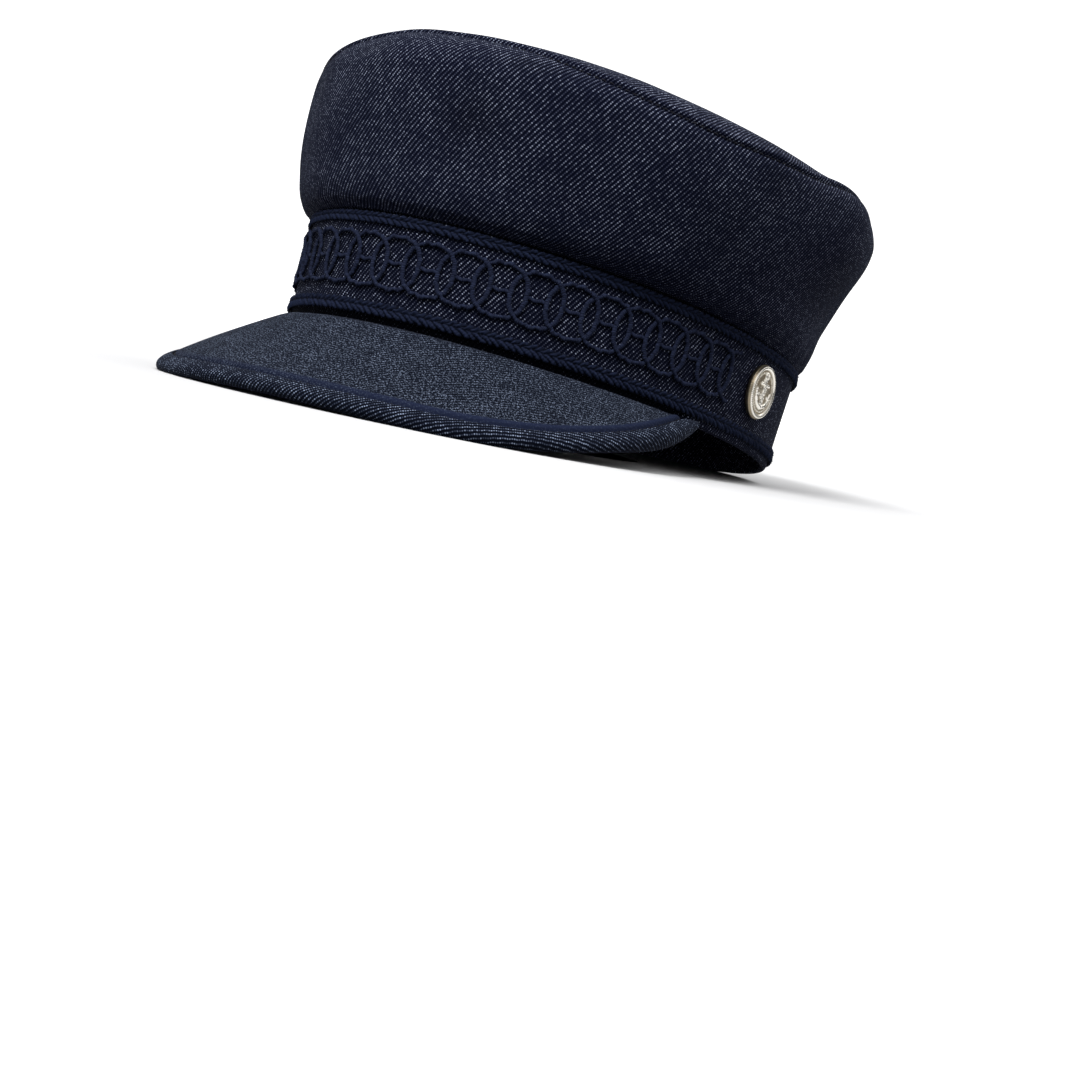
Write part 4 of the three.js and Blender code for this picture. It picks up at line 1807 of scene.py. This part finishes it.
@dataclass
class Peak:
    """The stiff peak: a cloth-covered blade with a rolled rim outside its line of stitches.

    Its sections are placed by along, which runs from -1 at the wearer's right end to 1 at the left.
    """

    rim: Rim
    stand: Stand
    half_span: float = math.radians(78.5)
    reach: float = 40.9
    drop: float = 33.5
    edge_thickness: float = 4.2
    edge_roll: float = 2.0
    edge_roll_most: float = 0.5
    edge_near: float = 11.0
    edge_near_most: float = 0.7
    end_fullness: float = 2.8
    end_place: float = 0.85
    end_spread: float = 0.11
    end_rounding: float = 0.06
    end_least: float = 0.02
    root_thickness: float = 3.2
    root_height: float = 1.6
    camber: float = 2.0
    lip: float = 0.9
    tuck: float = 1.5
    tuck_width: float = 2.1
    tuck_full: float = 12.0
    painted_shade_width: float = 1.4
    stitch_in: float = 6.5
    stitch_room: float = 1.0
    stitched: float = 0.93
    stitching: Stitching = Stitching(pitch=2.5, share=0.7)
    groove: float = 0.75
    groove_width: float = 0.6
    groove_pucker: float = 0.1
    puff: float = 0.45
    puff_fullness: float = 0.7
    welt_rise: float = 0.5
    welt_in: float = 1.9
    welt_width: float = 1.2
    welt_right: float = -70.0
    welt_left: float = 100.0
    steps_along: int = 600
    steps_root: int = 25
    steps_edge: int = 30
    steps_lip: int = 13
    steps_under: int = 22
    steps_stitched: int = 1200
    rows: tuple[PeakRow, ...] = (
        PeakRow(0, 1, 1, 0.88),
        PeakRow(0.25, 1.02, 0.994, 0.88),
        PeakRow(0.4, 1.012, 0.952, 0.87),
        PeakRow(0.55, 0.91, 0.81, 0.87),
        PeakRow(0.7, 0.685, 0.57, 0.91),
        PeakRow(0.85, 0.3765, 0.275, 0.97),
        PeakRow(1, 0.04, 0.01, 1),
    )

    def build(self, finish: Material, thread: Material) -> None:
        """Makes the peak and its stitches."""
        settle(self._blade().made("peak_cloth", self.stand, finish), Slot.PEAK, "peak")
        settle(self._stitches().made("peak_stitches", self.stand, thread), Slot.CORD)

    def _read(self, along: Array) -> list[Array]:
        """Reads smooth curves through the rows.

        Args:
            along: Places along the peak.

        Returns:
            The reach, the drop and the swing at each of them.
        """
        knots = np.array([row.along for row in self.rows])
        place = np.abs(along)
        span = np.clip(np.searchsorted(knots, place, side="right") - 1, 0, len(knots) - 2)
        width = np.diff(knots)
        share = (place - knots[span]) / width[span]
        results = []
        for key in ("reach", "drop", "swing"):
            values = np.array([getattr(row, key) for row in self.rows])
            slopes = np.diff(values) / width
            at_knots = np.concatenate([[0.0], (slopes[:-1] + slopes[1:]) / 2, slopes[-1:]])
            start, end = at_knots[span] * width[span], at_knots[span + 1] * width[span]
            first, second = values[span], values[span + 1]
            cubic = 2 * first - 2 * second + start + end
            square = 3 * second - 3 * first - 2 * start - end
            results.append(((cubic * share + square) * share + start) * share + first)
        return results

    def _frame(self, along: Array) -> Section:
        """Works out the peak's sections.

        Args:
            along: Places along the peak.

        Returns:
            By name, each section's root, its line from root to edge, its directions forwards and
            upwards, its length, its run along the rim and its arch.
        """
        reach, drop, swing = self._read(along)
        turn = along * self.half_span
        normal = self.rim.normal(turn)
        heading = np.arctan2(normal[:, 0], -normal[:, 1]) * swing
        ahead = np.stack([np.sin(heading), -np.cos(heading), np.zeros_like(heading)], axis=-1)
        down = np.array([0.0, 0.0, -1.0])
        across = ahead * (reach * self.reach)[:, None] + down * (drop * self.drop)[:, None]
        slope = np.arctan2(drop * self.drop, reach * self.reach)[:, None]
        return {
            "root": self.rim.point(turn, self.root_height, self.rim.seat_gap),
            "across": across,
            "ahead": ahead,
            "upwards": ahead * np.sin(slope) - down * np.cos(slope),
            "length": np.linalg.norm(across, axis=-1),
            "run": turn * self.rim.half_length,
            "arch": self.camber * np.abs(along) * reach,
        }

    def _relief(self, section: Section, inwards: Array) -> Array:
        """Height of the cloth over the blade.

        Args:
            section: The peak's sections.
            inwards: Distances in from the edge.

        Returns:
            The heights.
        """
        along = section["run"][:, None]
        past = inwards - self.stitch_in
        pucker = 1 + self.groove_pucker * np.sin(FULL_TURN * along / self.stitching.pitch)
        groove = self.groove * pucker * bell(past, self.groove_width)
        share = np.clip(inwards / self.stitch_in, 0, 1)
        puff = self.puff * np.sin(math.pi * share) ** self.puff_fullness
        welt = self.welt_rise * bell(past - self.welt_in, self.welt_width)
        return puff - groove + welt * eased(self.welt_right, self.welt_left, along)

    def _top(self, section: Section, inwards: Array) -> Array:
        """Points on the upper face.

        Args:
            section: The peak's sections.
            inwards: Distances in from the edge.

        Returns:
            The points.
        """
        length = section["length"][:, None]
        share = 1 - inwards / length
        arch = section["arch"][:, None] * 4 * share * (1 - share)
        tucked = self.tuck * bell(share * length, self.tuck_width) * eased(0.0, self.tuck_full, length)
        height = (arch + self._relief(section, inwards) - tucked)[..., None]
        line = section["root"][:, None] + section["across"][:, None] * share[..., None]
        return line + section["upwards"][:, None] * height

    def _blade(self) -> Draft:
        """Makes the peak's body.

        Returns:
            The closed body.
        """
        along = np.linspace(-1, 1, self.steps_along + 1)
        section = self._frame(along)
        length = section["length"][:, None]
        roll = np.minimum(self.edge_roll, self.edge_roll_most * length)
        near = np.minimum(self.edge_near, self.edge_near_most * length)
        root_side = between(length, near, steps_to_one(self.steps_root))
        edge_side = between(near, roll, np.linspace(0, 1, self.steps_edge)[None, :])
        inwards = np.concatenate([root_side, edge_side], axis=1)
        forwards = unit(section["across"])
        swell = bell(np.abs(along) - self.end_place, self.end_spread)
        thick = self.edge_thickness + self.end_fullness * swell
        past = np.clip(np.abs(along) - 1 + self.end_rounding, 0, None) / self.end_rounding
        closing = np.sqrt(np.clip(1 - past**2, self.end_least, 1))[:, None]
        thick = thick[:, None] * closing
        centre = section["root"] + section["across"] - forwards * roll - section["upwards"] * thick / 2
        angle = np.linspace(math.pi / 2, -math.pi / 2, self.steps_lip)[None, 1:-1, None]
        high = (thick / 2 + self._relief(section, roll) * (angle[..., 0] > 0))[..., None]
        lip = centre[:, None] + forwards[:, None] * (roll + self.lip)[..., None] * np.cos(angle)
        lip = lip + section["upwards"][:, None] * high * np.sin(angle)
        low_root = section["root"] - closing * np.array([0.0, 0.0, self.root_thickness])
        low_edge = section["root"] + section["across"] - section["upwards"] * thick
        back = np.linspace(0, 1, self.steps_under)[None, :]
        share = between(1 - roll / length, np.zeros_like(length), back)
        arch = section["arch"][:, None] * 4 * share * (1 - share)
        under = between(low_root[:, None], low_edge[:, None], share[..., None])
        under = under + section["upwards"][:, None] * arch[..., None]
        points = np.concatenate([self._top(section, inwards), lip, under], axis=1)
        run = run_length(closed_columns(points), axis=1)
        cloth = section["root"][:, None, :2] + section["ahead"][:, None, :2] * run[..., None]
        edge_run = run_length(section["root"] + section["across"])
        edge_run = edge_run - edge_run[len(edge_run) // 2]
        corner = run[:, inwards.shape[1] - 1, None] + roll
        edge = np.stack([np.broadcast_to(edge_run[:, None], run.shape), corner - run], axis=-1)
        # Painted shade along the root, where the peak meets the band.
        fold = np.zeros(run.shape)
        fold[:, : inwards.shape[1]] = bell(length - inwards, self.painted_shade_width)
        return Draft.from_grid(points, {"cloth": cloth, "edge": edge, "fold": one_number(fold)}, False)

    def _stitches(self) -> Draft:
        """Makes the line of stitches inside the rolled rim.

        Returns:
            The stitches' bodies.
        """
        section = self._frame(np.linspace(-self.stitched, self.stitched, self.steps_stitched))
        kept = section["length"] > self.stitch_in + self.stitch_room
        section = {key: value[kept] for key, value in section.items()}
        path = self._top(section, np.full((len(section["length"]), 1), self.stitch_in))[:, 0]
        return self.stitching.sewn(path, section["upwards"])


@dataclass(frozen=True)
class Bead:
    """A rounded ring in relief on the button: its radius, half its width and its height."""

    radius: float
    half: float
    rise: float

    def rounded(self, reach: Array, power: float = 0.5) -> Array:
        """The ring's relief with a round section."""
        return np.clip(1 - ((reach - self.radius) / self.half) ** 2, 0, 1) ** power * self.rise

    def soft(self, reach: Array) -> Array:
        """The ring's relief with soft flanks."""
        return bell(reach - self.radius, self.half) * self.rise


@dataclass(frozen=True)
class Anchor:
    """A plain anchor with a rope round its shank. Its lengths are shares of its height."""

    height: float = 14.0
    shank: tuple[float, ...] = (0, 0.33, 0, -0.4, 0.06)
    stock: tuple[float, ...] = (-0.2, 0.2, 0.2, 0.2, 0.05)
    barbs: tuple[tuple[float, ...], ...] = (
        (0.36, -0.14, 0.41, 0.02, 0.04),
        (0.36, -0.14, 0.27, -0.08, 0.035),
    )
    eye_up: float = 0.42
    eye_radius: float = 0.08
    eye_half: float = 0.035
    arms_up: float = 0.02
    arms_radius: float = 0.4
    arms_half: float = 0.06
    arms_end: float = 1.15
    arms_taper: float = 0.35
    rope_swing: float = 0.11
    rope_turns: float = 1.15
    rope_half: float = 0.036
    rope_reach: float = 0.36
    rope_rise: float = 0.65
    rope_lay: float = 0.2
    rope_lay_pitch: float = 7.0

    def relief(self, x: Array, y: Array) -> Array:
        """The anchor's relief over the button's face.

        Args:
            x, y: Places from the face's middle.

        Returns:
            The relief from 0 to 1.
        """
        eye = np.hypot(x, y - self.eye_up * self.height) - self.eye_radius * self.height
        arms_y = y - self.arms_up * self.height
        turn = np.abs(np.arctan2(x, -arms_y))
        arms = np.abs(np.hypot(x, arms_y) - self.arms_radius * self.height)
        arms = self._member(arms / (self.arms_end - self.arms_taper * turn), self.arms_half)
        shapes = [
            self._bar(x, y, 1, self.shank),
            self._bar(x, y, 1, self.stock),
            self._member(np.abs(eye), self.eye_half),
            np.where(turn < self.arms_end, arms, 0),
        ]
        for side in (-1, 1):
            shapes.extend(self._bar(x, y, side, barb) for barb in self.barbs)
        lay = 1 - self.rope_lay + self.rope_lay * np.cos(self.rope_lay_pitch * (x + y))
        rope = np.abs(x - self.rope_swing * self.height * np.sin(y * self.rope_turns))
        rope = self.rope_rise * lay * self._member(rope, self.rope_half)
        shapes.append(np.where(np.abs(y) < self.rope_reach * self.height, rope, 0))
        return np.max(shapes, axis=0)

    def _member(self, away: Array, half: float) -> Array:
        """The height of a round member at a distance from its middle line."""
        return np.sqrt(np.clip(1 - (away / (half * self.height)) ** 2, 0, 1))

    def _bar(self, x: Array, y: Array, side: int, ends: Sequence[float]) -> Array:
        """A straight member with round ends.

        Args:
            x, y: Places from the face's middle.
            side: -1 to put it on the left.
            ends: Its two ends and half its width.

        Returns:
            Its height at the places.
        """
        ax, bx = side * ends[0] * self.height, side * ends[2] * self.height
        ay, by = ends[1] * self.height, ends[3] * self.height
        run = (bx - ax) ** 2 + (by - ay) ** 2
        share = np.clip(((x - ax) * (bx - ax) + (y - ay) * (by - ay)) / run, 0, 1)
        return self._member(np.hypot(x - ax - share * (bx - ax), y - ay - share * (by - ay)), ends[4])


@dataclass
class Button:
    """A cast button with a milled border and a plain anchor in relief."""

    side: Side
    rim: Rim
    stand: Stand
    height_up: float
    arc: float = 160.0
    diameter: float = 19.5
    thickness: float = 3.0
    border: float = 1.3
    inside_share: float = 1.4
    relief: float = 0.85
    relief_used: float = 0.9
    face_drop: float = 0.06
    dome: float = 0.3
    beaten: float = 0.09
    hammer_waves: tuple[tuple[float, float, float], ...] = ((3.1, 1.3, 2.3), (2.9, 1.1, 2.6))
    border_bead: Bead = Bead(8.75, 0.92, 1.0)
    border_power: float = 0.6
    rope_bead: Bead = Bead(7.05, 0.42, 1.0)
    rope_rise: float = 0.45
    rope_depth: float = 0.2
    rope_strands: int = 48
    rope_slant: float = 5.0
    outer_ticks: Bead = Bead(9.25, 0.42, 0.16)
    inner_ticks: Bead = Bead(7.75, 0.3, 0.1)
    ticks: int = 84
    edge_from: float = 9.2
    edge_fall: float = 0.5
    wall_drop: float = 0.15
    wall_power: float = 1.2
    wall_draw: float = 0.09
    wall_milling: float = 0.05
    wall_from: float = 0.9
    hole: float = 0.1
    flat_to: float = 8.0
    rolled_from: float = 8.08
    rolled_end: float = 0.12
    back_shares: tuple[float, float] = (0.85, 0.05)
    anchor: Anchor = Anchor()
    steps_round: int = 336
    steps_flat: int = 62
    steps_rolled: int = 18
    steps_wall: int = 8
    steps_back: int = 5

    def build(self, finish: Material) -> None:
        """Makes the button."""
        node = f"button_{self.side.name.lower()}"
        settle(self._disc().made(f"{node}_cast", self.stand, finish), Slot.BUTTON, node)

    @property
    def radius(self) -> float:
        """Half the button's diameter."""
        return self.diameter / 2

    @property
    def face(self) -> float:
        """Height of the face's ground."""
        return self.thickness - self.relief

    def _face_levels(self, turn: Array, reach: Array) -> Array:
        """Heights of the face, with its border, rope ring and anchor.

        Args:
            turn: Angles round the button, in a column.
            reach: Distances from its middle, in a row.

        Returns:
            The heights over the button's back.
        """
        x, y = reach * np.sin(turn), reach * np.cos(turn)
        inside = self.radius - self.inside_share * self.border
        mill = 0.5 + 0.5 * np.cos(self.ticks * turn)
        ticks = mill * self.outer_ticks.soft(reach) + mill * self.inner_ticks.soft(reach)
        anchor = self.anchor.relief(x, y) * (reach < inside)
        (a, b, c), (d, e, f) = self.hammer_waves
        hammered = np.sin(a * x + b * np.sin(c * y)) * np.sin(d * y + e * np.sin(f * x))
        dome = self.dome * (1 - (reach / inside) ** 2) + self.beaten * hammered
        border = self.border_bead.rounded(reach, self.border_power)
        lay = self.rope_depth * np.cos(self.rope_strands * turn + self.rope_slant * reach)
        rope = self.rope_bead.rounded(reach) * (self.rope_rise + lay)
        raised = np.maximum(np.maximum(anchor, border), rope)
        level = self.face + dome * (reach < inside) + self.relief * raised * self.relief_used
        level = level + ticks - self.face_drop
        return level - self.edge_fall * eased(self.edge_from, self.radius, reach)

    def _disc(self) -> Draft:
        """Makes the button's body on the band.

        Returns:
            The closed body.
        """
        turn = np.linspace(0, FULL_TURN, self.steps_round + 1)[:, None]
        one = np.ones_like(turn)
        flat = np.linspace(self.hole, self.flat_to, self.steps_flat)
        rolled = np.linspace(self.rolled_from, self.radius - self.rolled_end, self.steps_rolled)
        reach = np.concatenate([flat, rolled])[None, :]
        fall = np.linspace(self.wall_from, 0, self.steps_wall)[None, :]
        wall = self.radius * (1 - self.wall_draw * (1 - fall) ** 4)
        wall = wall + self.wall_milling * np.cos(self.ticks * turn)
        wall_levels = (self.face - self.wall_drop) * fall**self.wall_power
        back = np.linspace(*self.back_shares, self.steps_back)[None, :] * self.radius * one
        reaches = np.concatenate([reach * one, wall, back], axis=1)
        face_levels = self._face_levels(turn, reach)
        levels = np.concatenate([face_levels, wall_levels * one, np.zeros_like(back)], axis=1)
        shown = (levels - self.face + self.wall_drop) / (self.relief + self.wall_drop)
        place = np.stack([reaches * np.sin(turn), reaches * np.cos(turn)], axis=-1)
        local = np.concatenate([place, levels[..., None]], axis=-1)
        sewn = self.side.value * self.rim.turn_at(self.arc)
        normal = self.rim.normal(sewn)
        above = np.array([0.0, 0.0, 1.0])
        basis = np.stack([np.cross(above, normal), above, normal])
        centre = self.rim.point(sewn, self.height_up, 0.0) + normal * self.rim.seat_gap
        return Draft.from_discs((local @ basis + centre)[:-1], {"face": place, "lie": one_number(shown)})


# Studio


@dataclass(frozen=True)
class Lamp:
    """A soft square light that points at the cap."""

    name: str
    place: tuple[float, float, float]
    size: float
    power: float


@dataclass
class Studio:
    """A round pale floor with a backdrop that rises round it, soft lights and the camera, in metres."""

    target: Vector
    azimuth: float = math.radians(34.46)
    camera_height: float = 0.028
    distance: float = 0.856
    roll: float = math.radians(11.5)
    focal_pixels: float = 2297.5
    picture_pixels: float = 1080.0
    target_pixel: tuple[float, float] = (555.0, 322.0)
    sensor: float = 36.0
    nearest: float = 0.005
    floor_start: float = 0.05
    floor_reach: float = 0.45
    backdrop_reach: float = 2.2
    backdrop_radius: float = 1.2
    backdrop_bend: float = math.pi / 2 * 0.9
    sky_below: float = 0.02
    sky_level: float = 0.13
    sky_top: float = 0.85
    sky_blend: float = 0.05
    lamps: tuple[Lamp, ...] = (
        Lamp("key_light", (0.3, -1.25, 1.8), 0.8, 27.0),
        Lamp("fill_light", (1.5, -0.7, 0.9), 1.2, 2.5),
        Lamp("low_light", (-0.8, -1.5, 0.3), 1.0, 2.5),
        Lamp("back_light", (0.2, 1.4, 1.4), 1.2, 8.0),
    )

    def build(self) -> None:
        """Sets up the floor, the lights and the camera."""
        self._floor()
        self._lights()
        self._camera()

    def _floor(self) -> None:
        """A round floor, and a backdrop that rises round it and stays out of reflections."""
        finish = FloorFinish().material()
        near = np.linspace(self.floor_start, self.floor_reach, 10)
        self._paper("studio_floor", near, np.zeros_like(near), finish)
        flat = np.linspace(self.floor_reach, self.backdrop_reach, 8)
        bend = np.linspace(0, self.backdrop_bend, 18)[1:]
        reach = np.concatenate([flat, self.backdrop_reach + self.backdrop_radius * np.sin(bend)])
        rise = np.concatenate([np.zeros_like(flat), self.backdrop_radius * (1 - np.cos(bend))])
        self._paper("studio_backdrop", reach, rise, finish).visible_glossy = False

    def _paper(self, name: str, reach: Array, rise: Array, finish: Material) -> bpy.types.Object:
        """A round sheet of paper that throws no light on the cap.

        Args:
            name: The sheet's name.
            reach: Distances of its profile from the middle.
            rise: Heights of its profile.
            finish: Its material.

        Returns:
            The sheet.
        """
        turn = np.linspace(0, FULL_TURN, 97)[:-1, None]
        ring = np.stack(np.broadcast_arrays(reach * np.sin(turn), reach * np.cos(turn), rise), axis=-1)
        rows, columns = ring.shape[:2]
        faces: list[tuple[int, ...]] = []
        for row in range(rows):
            beside = (row + 1) % rows
            for column in range(columns - 1):
                a, b = row * columns + column, beside * columns + column
                faces.append((a, b, b + 1, a + 1))
        if rise[0] == rise[-1]:
            faces.append(tuple(row * columns for row in range(rows)))
        mesh = bpy.data.meshes.new(name)
        mesh.from_pydata([tuple(point) for point in ring.reshape(-1, 3)], [], faces)
        mesh.polygons.foreach_set("use_smooth", np.ones(len(mesh.polygons), dtype=bool))
        mesh.materials.append(finish)
        sheet = in_scene(name, mesh)
        sheet.visible_diffuse = False
        return sheet

    def _lights(self) -> None:
        """A sky that is bright overhead, and the soft lamps."""
        world = bpy.data.worlds.new("studio_sky")
        world.use_nodes = True
        background = world.node_tree.nodes["Background"]
        sky = Graph(world.node_tree)
        direction = sky.node("ShaderNodeTexCoord", {}, {}).outputs["Generated"]
        up = Value(sky, sky.node("ShaderNodeSeparateXYZ", {}, {0: direction}).outputs[2])
        level = up.eased(-self.sky_blend, self.sky_blend, self.sky_below, self.sky_level)
        sky.feed(background.inputs["Color"], WHITE)
        sky.feed(background.inputs["Strength"], level + up.held() * self.sky_top)
        bpy.context.scene.world = world
        for lamp in self.lamps:
            light = bpy.data.lights.new(lamp.name, "AREA")
            light.size = lamp.size
            light.energy = lamp.power
            holder = in_scene(lamp.name, light)
            holder.location = lamp.place
            towards = self.target - Vector(lamp.place)
            holder.rotation_euler = towards.to_track_quat("-Z", "Y").to_euler()

    def _camera(self) -> None:
        """The camera at the photograph's angle, raised above the floor."""
        lift = self.camera_height - self.target.z
        level = math.sqrt(self.distance**2 - lift**2)
        away = Vector((math.sin(self.azimuth) * level, -math.cos(self.azimuth) * level, lift))
        middle = self.picture_pixels / 2
        right = math.atan((self.target_pixel[0] - middle) / self.focal_pixels)
        above = math.atan((middle - self.target_pixel[1]) / self.focal_pixels)
        looking = (-away).to_track_quat("-Z", "Y").to_matrix().to_4x4()
        rolled = Matrix.Rotation(self.roll, 4, "Z")
        aside = Matrix.Rotation(right, 4, "Y") @ Matrix.Rotation(-above, 4, "X")
        data = bpy.data.cameras.new("photo_camera")
        data.sensor_width = self.sensor
        data.lens = self.focal_pixels / self.picture_pixels * self.sensor
        data.clip_start = self.nearest
        camera = in_scene("photo_camera", data)
        camera.matrix_world = Matrix.Translation(self.target + away) @ looking @ rolled @ aside
        bpy.context.scene.camera = camera
        bpy.context.scene.view_settings.view_transform = "Standard"


def main() -> None:
    """Builds the cap's pieces in order, then the studio round them."""
    logging.basicConfig(level=logging.INFO, format="%(name)s: %(message)s")
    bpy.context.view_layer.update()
    rim = Rim()
    upper_bottom, upper_width = 33.2, 3.5
    lower_bottom, lower_width = 2.8, 4.2
    above_lower, below_upper = 4.4, 2.7
    stand = Stand.from_ring(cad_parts["upper_braid"], upper_bottom)
    thread = ThreadFinish().material()
    Crown(rim, stand).build(Denim().material(), thread)
    Band(rim, stand).build(BandDenimWithPaintedShade().material())
    plait = BraidFinish().material()
    Braid("upper_braid_plait", "upper_braid", rim, stand, upper_bottom, upper_width).build(plait)
    Braid("lower_braid_plait", "lower_braid", rim, stand, lower_bottom, lower_width).build(plait)
    chain = RingChain(rim, stand, lower_bottom + lower_width + above_lower, upper_bottom - below_upper)
    chain.build(CordFinish().material())
    Peak(rim, stand).build(PeakDenim().material(), thread)
    metal = ButtonMetal().material()
    for side in Side:
        Button(side, rim, stand, chain.middle).build(metal)
    Studio(stand.spot((0.0, 0.0, 30.0))).build()


if __name__ == "__main__":
    main()
